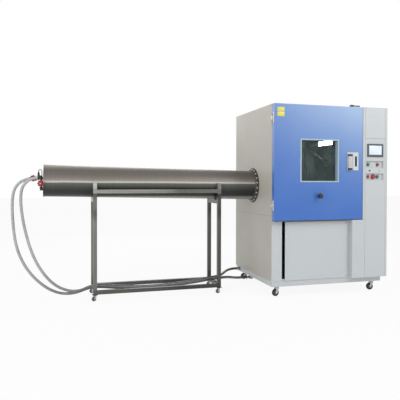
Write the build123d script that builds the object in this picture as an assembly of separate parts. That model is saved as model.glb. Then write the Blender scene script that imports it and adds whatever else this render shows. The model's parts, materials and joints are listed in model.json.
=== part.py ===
from build123d import *
import math
import os

# Environmental test chamber for water jets: a cabinet with a test space, a long
# stainless jet tube on its own stand at the left, and two supply hoses.
# Built with X from the cabinet's left side, Y from the front of the door and
# Z from the floor, in millimetres, and centred over its own footprint at the end.

# Driving dimensions of the cabinet
CAB_W = 1340.0
CAB_D = 1120.0
ROOF_Z = 2000.0
SHEET = 2.0
SEAM = 2.0
BODY_Y = 56.0
BASE_Z = 166.0
PLINTH_Z = 108.0
DOOR_W = 1034.0
DOOR_Z = 797.0
DOOR_T = 50.0
COLUMN_X = 1038.0
FACE_X = (1063.0, 1316.0)
CORNER_X = 911.0
POST_X = 115.0
HEAD_Z = 790.0
FACE_SEAM_Z = 1667.0
PANEL_SEAM_Z = 841.0
PLINTH_X = (8.0, 1305.0)
PLINTH_Y = (60.0, 1110.0)
PLINTH_BAR = 50.0
ACCESS_X = (149.0, 885.0)
ACCESS_Z = (169.0, 780.0)
ACCESS_SCREW_X = (176.0, 860.0)
ACCESS_SCREW_Z = (194.0, 752.0)

# Fittings on the roof and the back: X and Z or Y of each, with its radius
VENT_AT = (1110.0, 330.0)
VENT_NECK_R = 13.0
VENT_PIPE_R = 7.0
GLAND_AT = (1180.0, 300.0)
GLAND_R = 16.0
INLET_AT = (300.0, 300.0)
INLET_R = 13.0
DRAIN_AT = (420.0, 240.0)
DRAIN_R = 20.0
SPIGOT_L = 30.0
RIB_X = (1030.0, 1290.0)
RIB_Z = 420.0
RIB_STEP = 30.0
RIB_COUNT = 8

# Test space
LINER_X = (60.0, 974.0)
LINER_Z = (860.0, 1940.0)
LINER_BACK_Y = 1052.0

# Jet tube and its stand
TUBE_R = 160.0
TUBE_WALL = 2.0
TUBE_L = 2250.0
TUBE_Y = 583.0
TUBE_Z = 1158.0
TUBE_TILT = 1.2
FLANGE_R = 192.5
FLANGE_T = 10.0
FLANGE_BOLTS = 20
STAND_X = (-1760.0, -458.0)
STAND_HALF = 180.0
STAND_BAR = 38.0
STAND_Z = 66.0
STAND_TOP = 1180.0
STAND_RAIL_Z = 1077.0

# Door fittings
WINDOW_X = (292.0, 743.0)
WINDOW_Z = (1193.0, 1645.0)
TRIM = 14.0
WIPER_AT = (503.0, 1051.0)
WIPER_KNEE = (407.0, 1217.0)
WIPER_TIP = (365.0, 1540.0)
SHAFT_R = 6.0
TRAY_X = (842.0, 975.0)
TRAY_Z = (1321.0, 1513.0)
LEVER_X = (849.0, 892.0)
LEVER_PIN_X = 857.0
LEVER_Z = (1345.0, 1471.0)
LEVER_END = 20.0
SLOT_X = (934.0, 957.0)
SLOT_Z = (1362.0, 1470.0)
BOLT_Z = 1410.0
BOLT_X = (978.0, 1037.0)
BOLT_BACK_X = 962.0
HINGE_AT = (-6.0, 54.0)
HINGE_Z = ((1799.0, 1913.0), (899.0, 1005.0))

# Controls on the column
SCREEN_X = (1087.0, 1286.0)
SCREEN_Z = (1467.0, 1608.0)
TRAY_PLATE_X = (1073.0, 1294.0)
UPPER_TRAY_Z = (1348.0, 1423.0)
LOWER_TRAY_Z = (1218.0, 1289.0)
BUTTON_X = (1111.0, 1172.0, 1228.0)
BUTTON_R = 13.0

# Swing pipe, turntable, running fit
SWING_Y = 606.0
SWING_Z = 1446.0
SWING_X = (100.0, 900.0)
SWING_LEAN = 55.0
TABLE_AT = (500.0, 583.0)
TABLE_R = 250.0
TABLE_Z = 930.0
FIT = 0.05

# Castors: swivel axis places, overall height, wheel radius, wheel width, trail
CAB_CASTORS = {
    "front_left": (94.0, 125.0),
    "front_right": (1237.0, 125.0),
    "rear_left": (94.0, 1029.0),
    "rear_right": (1237.0, 1029.0),
}
CAB_CASTOR = dict(height=108.0, wheel_r=37.5, wheel_w=30.0, trail=22.0)
STAND_CASTORS = {
    "front_left": (STAND_X[0], TUBE_Y - STAND_HALF),
    "front_right": (STAND_X[1], TUBE_Y - STAND_HALF),
    "rear_left": (STAND_X[0], TUBE_Y + STAND_HALF),
    "rear_right": (STAND_X[1], TUBE_Y + STAND_HALF),
}
STAND_CASTOR = dict(height=66.0, wheel_r=23.5, wheel_w=20.0, trail=14.0)
CASTOR_TURN = {"front_left": 15.0, "front_right": 0.0, "rear_left": -10.0, "rear_right": 8.0}

# Supply hoses: outer radius and the routes' points
HOSE_R = 15.0
OUTER_ROUTE = [
    (-2386, 600, 1226), (-2449, 600, 1209), (-2502, 600, 1169), (-2536, 600, 1112),
    (-2551, 600, 1034), (-2554, 600, 930), (-2548, 601, 790), (-2534, 604, 640),
    (-2505, 610, 500), (-2450, 620, 365), (-2375, 640, 245), (-2285, 668, 145),
    (-2195, 696, 72), (-2100, 708, 30), (-2010, 680, 26), (-1930, 622, 48),
    (-1862, 556, 88), (-1795, 500, 120), (-1715, 470, 128), (-1600, 462, 116),
    (-1400, 466, 96), (-1160, 478, 90), (-900, 494, 96), (-670, 512, 112),
    (-520, 530, 128), (-415, 560, 130), (-330, 610, 124), (-250, 680, 108),
    (-170, 760, 84), (-90, 838, 62), (-5, 892, 50), (80, 915, 46),
]
INNER_ROUTE = [
    (-2304, 520, 1238), (-2365, 520, 1225), (-2417, 521, 1191), (-2453, 524, 1140),
    (-2468, 528, 1062), (-2466, 532, 950), (-2450, 538, 820), (-2425, 546, 690),
    (-2392, 556, 560), (-2350, 570, 435), (-2292, 592, 315), (-2220, 622, 205),
    (-2140, 655, 122), (-2052, 678, 70), (-1965, 664, 52), (-1888, 616, 68),
    (-1820, 562, 110), (-1755, 524, 134), (-1675, 508, 134), (-1560, 508, 120),
    (-1380, 518, 98), (-1150, 536, 90), (-910, 556, 96), (-690, 574, 112),
    (-530, 592, 132), (-425, 622, 134), (-342, 690, 134), (-278, 790, 134),
    (-226, 872, 136), (-182, 930, 138), (-134, 976, 140), (-74, 1000, 142),
    (-12, 1000, 142),
]

nodes = {}


def block(x0, x1, y0, y1, z0, z1):
    """A box between two corners."""
    size = (x1 - x0, y1 - y0, z1 - z0)
    return Pos((x0 + x1) / 2, (y0 + y1) / 2, (z0 + z1) / 2) * Box(*size)


def rod(start, end, radius):
    """A round bar from one point to another."""
    axis = Vector(*end) - Vector(*start)
    plane = Plane(origin=start, z_dir=axis)
    return plane * Cylinder(radius, axis.length, align=(Align.CENTER, Align.CENTER, Align.MIN))


def pipe_along(points, radii, radius):
    """A round cord swept along straight runs joined by tangent arcs."""
    path = FilletPolyline(*points, radius=radii) if radii else Polyline(*points)
    start = Plane(origin=path @ 0, z_dir=path % 0)
    return sweep(start * Circle(radius), path=path)


def corner_radii(points):
    """The arc at each corner: 0.45 of the shorter run over the tangent of half the turn."""
    radii = []
    for before, here, after in zip(points, points[1:], points[2:]):
        first = Vector(*here) - Vector(*before)
        second = Vector(*after) - Vector(*here)
        half_turn = math.radians(first.get_angle(second)) / 2
        radii.append(0.45 * min(first.length, second.length) / math.tan(half_turn))
    return radii


def hose_tail(end, before, length, radius):
    """The stub that a hose is pushed on, in line with the hose's last run."""
    way = (Vector(*end) - Vector(*before)).normalized()
    return rod(end, tuple(Vector(*end) + way * length), radius)


def solids(*parts):
    """Separate solids that share one node."""
    return Compound([solid for part in parts for solid in part.solids()])


def tube_plane(distance):
    """A plane square to the jet tube, a distance out from the cabinet's wall."""
    slope = math.radians(TUBE_TILT)
    way = Vector(-math.cos(slope), 0, math.sin(slope))
    return Plane(origin=Vector(0, TUBE_Y, TUBE_Z) + way * distance, x_dir=(0, 1, 0), z_dir=way)


def tube_z(x):
    """Height of the jet tube's axis at an x."""
    return TUBE_Z - x * math.tan(math.radians(TUBE_TILT))


def tube_hole(radius, inner, outer):
    """A cutter along the jet tube's axis."""
    height = outer - inner
    return tube_plane(inner) * Cylinder(radius, height, align=(Align.CENTER, Align.CENTER, Align.MIN))


def castor_plate(x, y, height, **_):
    """The fixed plate and bearing cup over a castor."""
    half = height * 0.42
    plate = block(x - half, x + half, y - half, y + half, height - 4, height)
    cup = rod((x, y, height - 12), (x, y, height - 4), height * 0.25)
    bore = rod((x, y, height - 12), (x, y, height - 5), height * 0.06 + FIT)
    return solids(plate, cup - bore)


def castor(name, x, y, height, wheel_r, wheel_w, trail, turn):
    """The turning fork with its axle, and the wheel, of one castor."""
    top = height - 12.5
    crown = top - height * 0.06
    pin_r = height * 0.06
    axle_r = wheel_r * 0.13
    cheek = 3.0 if height > 80 else 2.2
    gap = wheel_w / 2 + 1.5
    head_r = gap + cheek
    head = rod((0, 0, crown), (0, 0, top), head_r)
    pin = rod((0, 0, crown), (0, 0, height - 6), pin_r)
    sides = []
    for way in (-1, 1):
        inner = way * gap
        outline = Polyline(
            (head_r * 0.8, inner, crown),
            (-head_r * 0.9, inner, crown),
            (-trail - wheel_r * 0.34, inner, wheel_r),
            (-trail, inner, wheel_r - wheel_r * 0.34),
            (-trail + wheel_r * 0.34, inner, wheel_r),
            close=True,
        )
        sides.append(extrude(make_face(outline), amount=cheek, dir=(0, way, 0)))
    axle = rod((-trail, -gap - cheek - 2, wheel_r), (-trail, gap + cheek + 2, wheel_r), axle_r)
    fork = head + pin + sides[0] + sides[1] + axle
    tyre = rod((-trail, -wheel_w / 2, wheel_r), (-trail, wheel_w / 2, wheel_r), wheel_r)
    tyre = chamfer(tyre.edges().filter_by(GeomType.CIRCLE), wheel_w * 0.08)
    tyre = tyre - rod((-trail, -wheel_w, wheel_r), (-trail, wheel_w, wheel_r), axle_r + FIT)
    place = Pos(x, y, 0) * Rot(0, 0, turn)
    nodes[name + "_fork"] = place * fork
    nodes[name + "_wheel"] = place * tyre


def hex_head(x, y, z, across, height, way):
    """A hexagon bolt head standing out along a direction."""
    plane = Plane(origin=(x, y, z), z_dir=way)
    return extrude(plane * RegularPolygon(across / math.sqrt(3), 6), amount=height)


# Base, frame and casing

def make_plinth():
    (x0, x1), (y0, y1), bar = PLINTH_X, PLINTH_Y, PLINTH_BAR
    middle = 640.0
    bars = [
        block(x0 + bar, middle, y0 + bar, y1 - bar, BASE_Z - 3, BASE_Z),
        block(middle + bar, x1 - bar, y0 + bar, y1 - bar, BASE_Z - 3, BASE_Z),
        block(x0, x1, y0, y0 + bar, PLINTH_Z, BASE_Z),
        block(x0, x1, y1 - bar, y1, PLINTH_Z, BASE_Z),
        block(x0, x0 + bar, y0 + bar, y1 - bar, PLINTH_Z, BASE_Z),
        block(x1 - bar, x1, y0 + bar, y1 - bar, PLINTH_Z, BASE_Z),
        block(middle, middle + bar, y0 + bar, y1 - bar, PLINTH_Z, BASE_Z),
    ]
    plates = [castor_plate(x, y, **CAB_CASTOR) for x, y in CAB_CASTORS.values()]
    nodes["plinth_frame"] = solids(*bars, *plates)


def make_body_frame():
    bar = 20.0
    top = ROOF_Z - SHEET
    xs = (SHEET, 976.0, CAB_W - SHEET - bar)
    ys = (BODY_Y + SHEET, CAB_D - SHEET - bar)
    parts = [block(x, x + bar, y, y + bar, BASE_Z, top) for x in xs for y in ys]
    for z in (BASE_Z, 826.0, top - bar):
        for y in ys:
            parts += [block(a + bar, b, y, y + bar, z, z + bar) for a, b in zip(xs, xs[1:])]
        for x in xs:
            parts.append(block(x, x + bar, ys[0] + bar, ys[1], z, z + bar))
    nodes["body_frame"] = solids(*parts)


def make_casing():
    top = ROOF_Z - SHEET
    upper = block(0, SHEET, BODY_Y + SHEET, CAB_D - SHEET, PANEL_SEAM_Z + SEAM / 2, top)
    upper = upper - tube_hole(TUBE_R, -80, 80)
    lower = block(0, SHEET, BODY_Y + SHEET, CAB_D - SHEET, BASE_Z, PANEL_SEAM_Z - SEAM / 2)
    nodes["left_panels"] = solids(upper, lower)
    nodes["right_panel"] = block(CAB_W - SHEET, CAB_W, 0, CAB_D - SHEET, BASE_Z, top)
    back = block(0, CAB_W, CAB_D - SHEET, CAB_D, BASE_Z, top)
    ribs = []
    for step in range(RIB_COUNT):
        low = RIB_Z + RIB_STEP * step
        ribs.append(block(*RIB_X, CAB_D, CAB_D + 4, low, low + RIB_STEP / 3))

    def spigot(place, radius, length):
        x, z = place
        return rod((x, CAB_D, z), (x, CAB_D + length, z), radius)

    gland = spigot(GLAND_AT, GLAND_R, 22)
    inlet = spigot(INLET_AT, INLET_R, SPIGOT_L)
    drain = spigot(DRAIN_AT, DRAIN_R, SPIGOT_L)
    nodes["back_panel"] = solids(back, gland, inlet, drain, *ribs)
    roof = block(0, CAB_W, BODY_Y, CAB_D, top, ROOF_Z)
    cap = block(COLUMN_X, CAB_W, 0, BODY_Y, top, ROOF_Z)
    x, y = VENT_AT
    half, elbow_z = 16.0, ROOF_Z + 52
    neck = rod((x, y, ROOF_Z), (x, y, elbow_z), VENT_NECK_R)
    elbow = block(x - half, x + half, y - half, y + half, elbow_z, elbow_z + 24)
    spout = rod((x + half, y, elbow_z + 14), (x + 105, y, elbow_z + 14), VENT_PIPE_R)
    nodes["roof_panel"] = solids(roof, cap, neck, elbow, spout)
    left, right = LINER_X
    low, high = LINER_Z
    near, far = BODY_Y, BODY_Y + SHEET
    sill = 784.0
    nodes["door_surround"] = solids(
        block(0, left, near, far, low, high),
        block(right, COLUMN_X, near, far, low, high),
        block(0, COLUMN_X, near, far, high, top),
        block(0, COLUMN_X, near, far, sill, low),
        block(0, POST_X, near, far, BASE_Z, sill),
        block(ACCESS_X[1] + SHEET, COLUMN_X, near, far, BASE_Z, sill),
    )
    nodes["lower_access_panel"] = block(*ACCESS_X, near - 4, near - 2, *ACCESS_Z)
    inner, outer = FACE_X
    upper = HEAD_Z + SHEET
    nodes["column_cover"] = solids(
        block(COLUMN_X, COLUMN_X + SHEET, SHEET, BODY_Y, upper, top),
        block(COLUMN_X, inner, 0, SHEET, upper, top),
        block(outer, CAB_W - SHEET, 0, SHEET, upper, top),
        block(inner + SEAM, outer - SEAM, 0, SHEET, FACE_SEAM_Z + SEAM / 2, top),
        block(CORNER_X, inner, 0, SHEET, BASE_Z, HEAD_Z),
        block(outer, CAB_W - SHEET, 0, SHEET, BASE_Z, HEAD_Z),
        block(CORNER_X, CORNER_X + SHEET, SHEET, BODY_Y, BASE_Z, HEAD_Z),
        block(CORNER_X + SHEET, COLUMN_X, SHEET, BODY_Y, HEAD_Z - SHEET, HEAD_Z),
        block(CORNER_X + SHEET, CAB_W - SHEET, SHEET, BODY_Y, BASE_Z, BASE_Z + SHEET),
    )


def make_controls():
    left, right = FACE_X[0] + SEAM, FACE_X[1] - SEAM
    panel = block(left, right, 0, SHEET, BASE_Z, FACE_SEAM_Z - SEAM / 2)
    opening = block(SCREEN_X[0] + 6, SCREEN_X[1] - 6, -1, 3, SCREEN_Z[0] + 6, SCREEN_Z[1] - 6)
    panel = panel - opening
    trays = []
    buttons = {
        "start_button": (BUTTON_X[0], UPPER_TRAY_Z, BUTTON_R),
        "stop_button": (BUTTON_X[2], UPPER_TRAY_Z, BUTTON_R),
        "pump_off_button": (BUTTON_X[0], LOWER_TRAY_Z, BUTTON_R),
        "emergency_stop": (BUTTON_X[1], LOWER_TRAY_Z, 20.0),
        "lamp_button": (BUTTON_X[2], LOWER_TRAY_Z, BUTTON_R),
    }
    depth, stem_r = 18.0, 8.0
    for z0, z1 in (UPPER_TRAY_Z, LOWER_TRAY_Z):
        x0, x1 = TRAY_PLATE_X
        panel = panel - block(x0, x1, -1, 3, z0, z1)
        plate = block(x0, x1, depth, depth + SHEET, z0, z1)
        for x, tray_z, _ in buttons.values():
            if tray_z == (z0, z1):
                middle = (z0 + z1) / 2
                plate = plate - rod((x, depth - 1, middle), (x, depth + 4, middle), stem_r + FIT)
        trays += [
            plate,
            block(x0, x0 + 1, SHEET, depth, z0, z1),
            block(x1 - 1, x1, SHEET, depth, z0, z1),
            block(x0 + 1, x1 - 1, SHEET, depth, z1 - 1, z1),
            block(x0 + 1, x1 - 1, SHEET, depth, z0, z0 + 1),
        ]
    dots = [rod((x, -3, 1319), (x, 0, 1319), 5) for x in (1118.0, 1241.0)]
    nodes["control_panel"] = solids(panel, *trays, *dots)
    for name, (x, (z0, z1), radius) in buttons.items():
        z = (z0 + z1) / 2
        face = 2.0 if radius < 15 else -12.0
        button = rod((x, face, z), (x, depth - 6, z), radius)
        button = chamfer(button.edges().group_by(Axis.Y)[0], 1.5)
        nodes[name] = button + rod((x, depth - 6, z), (x, depth + 14, z), stem_r)
    bezel = block(*SCREEN_X, -6, 0, *SCREEN_Z)
    bezel = fillet(bezel.edges().filter_by(Axis.Y), 5)
    bezel = bezel - block(SCREEN_X[0] + 22, SCREEN_X[1] - 20, -8, -4.5, SCREEN_Z[0] + 24, SCREEN_Z[1] - 18)
    case = block(SCREEN_X[0] + 6, SCREEN_X[1] - 6, 0, 42, SCREEN_Z[0] + 6, SCREEN_Z[1] - 6)
    nodes["touch_screen"] = bezel + case


# Test space and its machinery

def make_liner():
    x0, x1 = LINER_X
    z0, z1 = LINER_Z
    near = BODY_Y + SHEET
    left = block(x0, x0 + SHEET, near, LINER_BACK_Y, z0, z1) - tube_hole(TUBE_R, -200, 80)
    left = left - rod((50, SWING_Y, SWING_Z), (80, SWING_Y, SWING_Z), 12)
    right = block(x1 - SHEET, x1, near, LINER_BACK_Y, z0, z1)
    right = right - rod((950, SWING_Y, SWING_Z), (990, SWING_Y, SWING_Z), 16)
    floor = block(x0 + SHEET, x1 - SHEET, near, LINER_BACK_Y, z0, z0 + SHEET)
    floor = floor - rod((*TABLE_AT, z0 - 5), (*TABLE_AT, z0 + 5), 18)
    ceiling = block(x0 + SHEET, x1 - SHEET, near, LINER_BACK_Y, z1 - SHEET, z1)
    back = block(x0 + SHEET, x1 - SHEET, LINER_BACK_Y - SHEET, LINER_BACK_Y, z0 + SHEET, z1 - SHEET)
    lamp = block(330, 650, 300, 380, z1 - 42, z1 - SHEET)
    nodes["chamber_liner"] = solids(left, right, floor, ceiling, back, lamp)


def make_machinery():
    tank = block(170, 620, 320, 920, BASE_Z, 560) - block(172, 618, 322, 918, BASE_Z + 2, 570)
    lid = block(168, 622, 318, 922, 560, 564)
    nodes["water_tank"] = solids(tank, lid)
    foot = block(640, 976, 540, 700, BASE_Z, BASE_Z + 10)
    pillar = block(810, 930, 570, 670, BASE_Z + 10, 200)
    motor = rod((790, 620, 262), (960, 620, 262), 80) - pillar
    head = rod((710, 620, 262), (790, 620, 262), 66)
    suction = rod((620, 620, 262), (710, 620, 262), 20)
    riser = rod((750, 620, 326), (750, 620, 420), 18)
    side_union = rod(INNER_ROUTE[-1], (8, 1000, 142), 18)
    hanger = rod((118, 915, 66), (118, 915, BASE_Z - 3), 14)
    elbow = block(98, 138, 895, 935, 26, 66)
    tail = hose_tail(OUTER_ROUTE[-1], OUTER_ROUTE[-2], 22, 14) - elbow
    nodes["pump_set"] = solids(
        foot, motor, head, pillar, suction, riser - head, side_union, elbow, hanger, tail
    )
    x, y = TABLE_AT
    housing = rod((x, y, 800), (x, y, LINER_Z[0]), 45)
    housing = housing - rod((x, y, 810), (x, y, LINER_Z[0] + 1), 15 + FIT)
    gearbox = block(x - 70, x + 70, y - 70, y + 70, 690, 800)
    turn_motor = rod((x, y, 590), (x, y, 690), 55)
    wall = LINER_X[1] - SHEET
    disc = rod((wall - 8, SWING_Y, SWING_Z), (wall, SWING_Y, SWING_Z), 80)
    disc = disc + rod((wall, SWING_Y, SWING_Z), (wall + 50, SWING_Y, SWING_Z), 16)
    disc = disc - rod((wall - 9, SWING_Y, SWING_Z), (wall + 44, SWING_Y, SWING_Z), 12 + FIT)
    swing_motor = block(wall + 50, wall + 190, SWING_Y - 60, SWING_Y + 60, SWING_Z - 60, SWING_Z + 60)
    inner = LINER_X[0] + SHEET
    bush = rod((inner - 8, SWING_Y, SWING_Z), (inner, SWING_Y, SWING_Z), 12)
    bush = bush + rod((inner, SWING_Y, SWING_Z), (inner + 12, SWING_Y, SWING_Z), 26)
    bush = bush - rod((inner - 6, SWING_Y, SWING_Z), (inner + 13, SWING_Y, SWING_Z), 8 + FIT)
    nodes["drive_motors"] = solids(housing, gearbox, turn_motor, disc, swing_motor, bush)


def make_turntable():
    x, y = TABLE_AT
    disc = rod((x, y, TABLE_Z), (x, y, TABLE_Z + 12), TABLE_R)
    disc = chamfer(disc.edges().filter_by(GeomType.CIRCLE), 2)
    boss = rod((x, y, TABLE_Z - 24), (x, y, TABLE_Z), 60)
    shaft = rod((x, y, 814), (x, y, TABLE_Z - 24), 15)
    nodes["turntable"] = disc + boss + shaft


def make_swing_pipe():
    x0, x1 = SWING_X
    middle, radius = (x0 + x1) / 2, (x1 - x0) / 2
    lean = math.radians(SWING_LEAN)
    side, up = math.sin(lean), math.cos(lean)

    def on_arc(angle, reach):
        turn = math.radians(angle)
        out = reach * math.sin(turn)
        return (middle + reach * math.cos(turn), SWING_Y + out * side, SWING_Z + out * up)

    path = ThreePointArc(on_arc(0, radius), on_arc(90, radius), on_arc(180, radius))
    hoop = sweep(Plane(origin=path @ 0, z_dir=path % 0) * Circle(9), path=path)
    shaft = rod((x1 - 14, SWING_Y, SWING_Z), (LINER_X[1] + 36, SWING_Y, SWING_Z), 12)
    stub = rod((LINER_X[0] + 2, SWING_Y, SWING_Z), (x0 + 14, SWING_Y, SWING_Z), 8)
    pipe = hoop + shaft + stub
    for step in range(1, 18):
        pipe = pipe + rod(on_arc(step * 10, radius - 20), on_arc(step * 10, radius - 4), 4)
    nodes["swing_pipe"] = pipe


# Door

def window_hole(margin, y0, y1):
    """A cutter for the window, smaller than its trim by a margin all round."""
    x0, x1 = WINDOW_X
    z0, z1 = WINDOW_Z
    return block(x0 + margin, x1 - margin, y0, y1, z0 + margin, z1 - margin)


def make_door():
    top = ROOF_Z - SHEET
    wx, wz = WIPER_AT
    shell = block(0, DOOR_W, 0, DOOR_T, DOOR_Z, top)
    shell = fillet(shell.faces().sort_by(Axis.Y)[0].edges(), 2.5)
    wall = 2.0
    shell = shell - block(wall, DOOR_W - wall, wall, DOOR_T + 1, DOOR_Z + wall, top - wall)
    shell = shell + rod((wx, wall, wz), (wx, DOOR_T, wz), SHAFT_R + 6)
    s0, s1 = SLOT_X
    shell = shell + block(BOLT_BACK_X - 3, DOOR_W - wall, 14, 36, BOLT_Z - 14, BOLT_Z + 14)
    shell = shell + block(s0 - wall, s1 + wall, wall, 22, SLOT_Z[0] - wall, SLOT_Z[1] + wall)
    shell = shell - window_hole(TRIM - 2, -1, DOOR_T + 1)
    shell = shell - rod((wx, -1, wz), (wx, DOOR_T + 1, wz), SHAFT_R + FIT)
    shell = shell - block(BOLT_BACK_X, DOOR_W + 1, 17.5, 32.5, BOLT_Z - 10.5, BOLT_Z + 10.5)
    shell = shell - block(s0, s1, -1, 20, *SLOT_Z)
    nodes["door_shell"] = shell
    skin = block(10, DOOR_W - 10, DOOR_T, DOOR_T + SHEET, DOOR_Z + 10, top - 10)
    skin = skin - window_hole(TRIM - 2, DOOR_T - 1, DOOR_T + 4)
    skin = skin - rod((wx, DOOR_T - 1, wz), (wx, DOOR_T + 4, wz), SHAFT_R + FIT)
    nodes["door_inner_skin"] = skin
    back = DOOR_T + SHEET
    seal = block(22, 1010, back, back + 3.6, 820, 1976)
    nodes["door_gasket"] = seal - block(46, 986, back - 1, back + 5, 844, 1952)
    trim = block(WINDOW_X[0], WINDOW_X[1], -4, 0, *WINDOW_Z)
    trim = chamfer(trim.faces().sort_by(Axis.Y)[0].edges(), 1.5)
    trim = trim + window_hole(TRIM - 2, -1, back)
    nodes["window_trim"] = trim - window_hole(TRIM, -10, back + 5)
    nodes["window_glass"] = window_hole(TRIM, back - 8, back)


def make_hinges():
    hx, hy = HINGE_AT
    fixed, moving = [], []
    for z0, z1 in HINGE_Z:
        third = (z1 - z0) / 3
        fixed.append(block(-3, 0, hy + 7, hy + 76, z0, z1))
        for a, b in ((z0, z0 + third - 0.5), (z1 - third + 0.5, z1)):
            knuckle = rod((hx, hy, a), (hx, hy, b), 6) + block(-3, 0, hy + 3, hy + 8, a, b)
            knuckle = knuckle + block(hx, 0, hy + 3, hy + 6, a, b)
            knuckle = knuckle - rod((hx, hy, a - 1), (hx, hy, b + 1), 3 + FIT)
            knuckle = knuckle - block(-1, 3, hy - 8, hy + 3, a - 1, b + 1)
            fixed.append(knuckle)
        leaf = block(-3, 0, 6, hy - 7, z0, z1)
        barrel = rod((hx, hy, z0 + third), (hx, hy, z1 - third), 6)
        barrel = barrel + block(hx, -3, hy - 8, hy - 3, z0 + third, z1 - third)
        barrel = barrel + block(-3, 0, hy - 8, hy - 6, z0 + third, z1 - third)
        pin = rod((hx, hy, z0 - 1), (hx, hy, z1 + 1), 3)
        moving.append(leaf + barrel + pin)
    nodes["hinge_leaves"] = solids(*fixed)
    nodes["door_hinges"] = solids(*moving)


def make_handle():
    x0, x1 = TRAY_X
    z0, z1 = TRAY_Z
    tray = block(x0, x1, -8, 0, z0, z1)
    tray = fillet(tray.edges().filter_by(Axis.Y), 8)
    tray = tray - block(*SLOT_X, -9, 1, *SLOT_Z)
    (l0, l1), (low_z, high_z), pin_x = LEVER_X, LEVER_Z, LEVER_PIN_X
    tray = tray - block(l0 - 3, l1 + 17, -9, -5, low_z - LEVER_END, high_z + LEVER_END)
    for low, high in ((low_z - LEVER_END, low_z - 0.5), (high_z + 0.5, high_z + LEVER_END)):
        end = block(l0 - 1, l1 + 1, -24, -5, low, high)
        end = end - rod((pin_x, -14, low - 1), (pin_x, -14, high + 1), 4 + FIT)
        tray = tray + end
    nodes["handle_tray"] = tray
    lever = block(l0, l1, -20, -9, low_z, high_z)
    lever = fillet(lever.edges().filter_by(Axis.Z), 3)
    pin = rod((pin_x, -14, low_z - 18), (pin_x, -14, high_z + 18), 4)
    nodes["handle_lever"] = lever + pin
    bolt = block(*BOLT_X, 18, 32, BOLT_Z - 10, BOLT_Z + 10)
    nodes["latch_bolt"] = chamfer(bolt.faces().sort_by(Axis.X)[-1].edges().filter_by(Axis.Z), 2.2)


def leaning(foot, tip):
    """Where upright work goes so that it stands on a foot and points at a tip: X and Z of each."""
    lean = math.degrees(math.atan2(foot[0] - tip[0], tip[1] - foot[1]))
    return Pos(foot[0], 0, foot[1]) * Rot(0, -lean, 0)


def make_wiper():
    x, z = WIPER_AT
    shaft = rod((x, -40, z), (x, DOOR_T + 14, z), SHAFT_R)
    hub = rod((x, -30, z), (x, -8, z), 13)
    star = rod((x, -58, z), (x, -30, z), 22)
    for step in range(5):
        turn = math.radians(90 + 72 * step)
        lobe = rod((x + 20 * math.cos(turn), -56, z + 20 * math.sin(turn)),
                   (x + 20 * math.cos(turn), -32, z + 20 * math.sin(turn)), 10)
        star = star + lobe
    nodes["wiper_knob"] = star + hub + shaft
    back = DOOR_T + SHEET
    collar = rod((x, back + 1, z), (x, back + 14, z), 15) - rod((x, back, z), (x, back + 15, z), SHAFT_R)
    reach = math.dist(WIPER_AT, WIPER_KNEE)
    span = math.dist(WIPER_KNEE, WIPER_TIP)
    root = leaning(WIPER_AT, WIPER_KNEE) * block(-7, 7, back + 7, back + 10, 13, reach)
    arm = block(-7, 7, back + 7, back + 10, -7, span)
    blade = block(-3, 3, back + 0.4, back + 7, 0, span)
    nodes["wiper_blade"] = collar + root + leaning(WIPER_KNEE, WIPER_TIP) * (arm + blade)


# Jet tube, its end and its stand

def make_tube():
    tube = tube_hole(TUBE_R, -62, TUBE_L) - tube_hole(TUBE_R - TUBE_WALL, -70, TUBE_L + 5)
    nodes["jet_tube"] = tube
    ring = rod((-FLANGE_T, TUBE_Y, TUBE_Z), (0, TUBE_Y, TUBE_Z), FLANGE_R)
    ring = chamfer(ring.edges().filter_by(GeomType.CIRCLE).sort_by(Axis.X)[0], 1.5)
    nodes["tube_flange"] = ring - tube_hole(TUBE_R, -20, 40)
    heads = []
    pitch_r = (FLANGE_R + TUBE_R) / 2
    for step in range(FLANGE_BOLTS):
        turn = 2 * math.pi * (step + 0.5) / FLANGE_BOLTS
        y, z = TUBE_Y + pitch_r * math.cos(turn), TUBE_Z + pitch_r * math.sin(turn)
        heads.append(hex_head(-FLANGE_T, y, z, 16, 7, (-1, 0, 0)))
    for x in ACCESS_SCREW_X:
        for z in ACCESS_SCREW_Z:
            heads.append(rod((x, BODY_Y - 7, z), (x, BODY_Y - 4, z), 6))
    nodes["fasteners"] = solids(*heads)


NOZZLE_A = (600.0, 1228.0)
NOZZLE_B = (520.0, 1120.0)
END_X = -2256.0
VALVE_B_X = -2276.0


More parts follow.
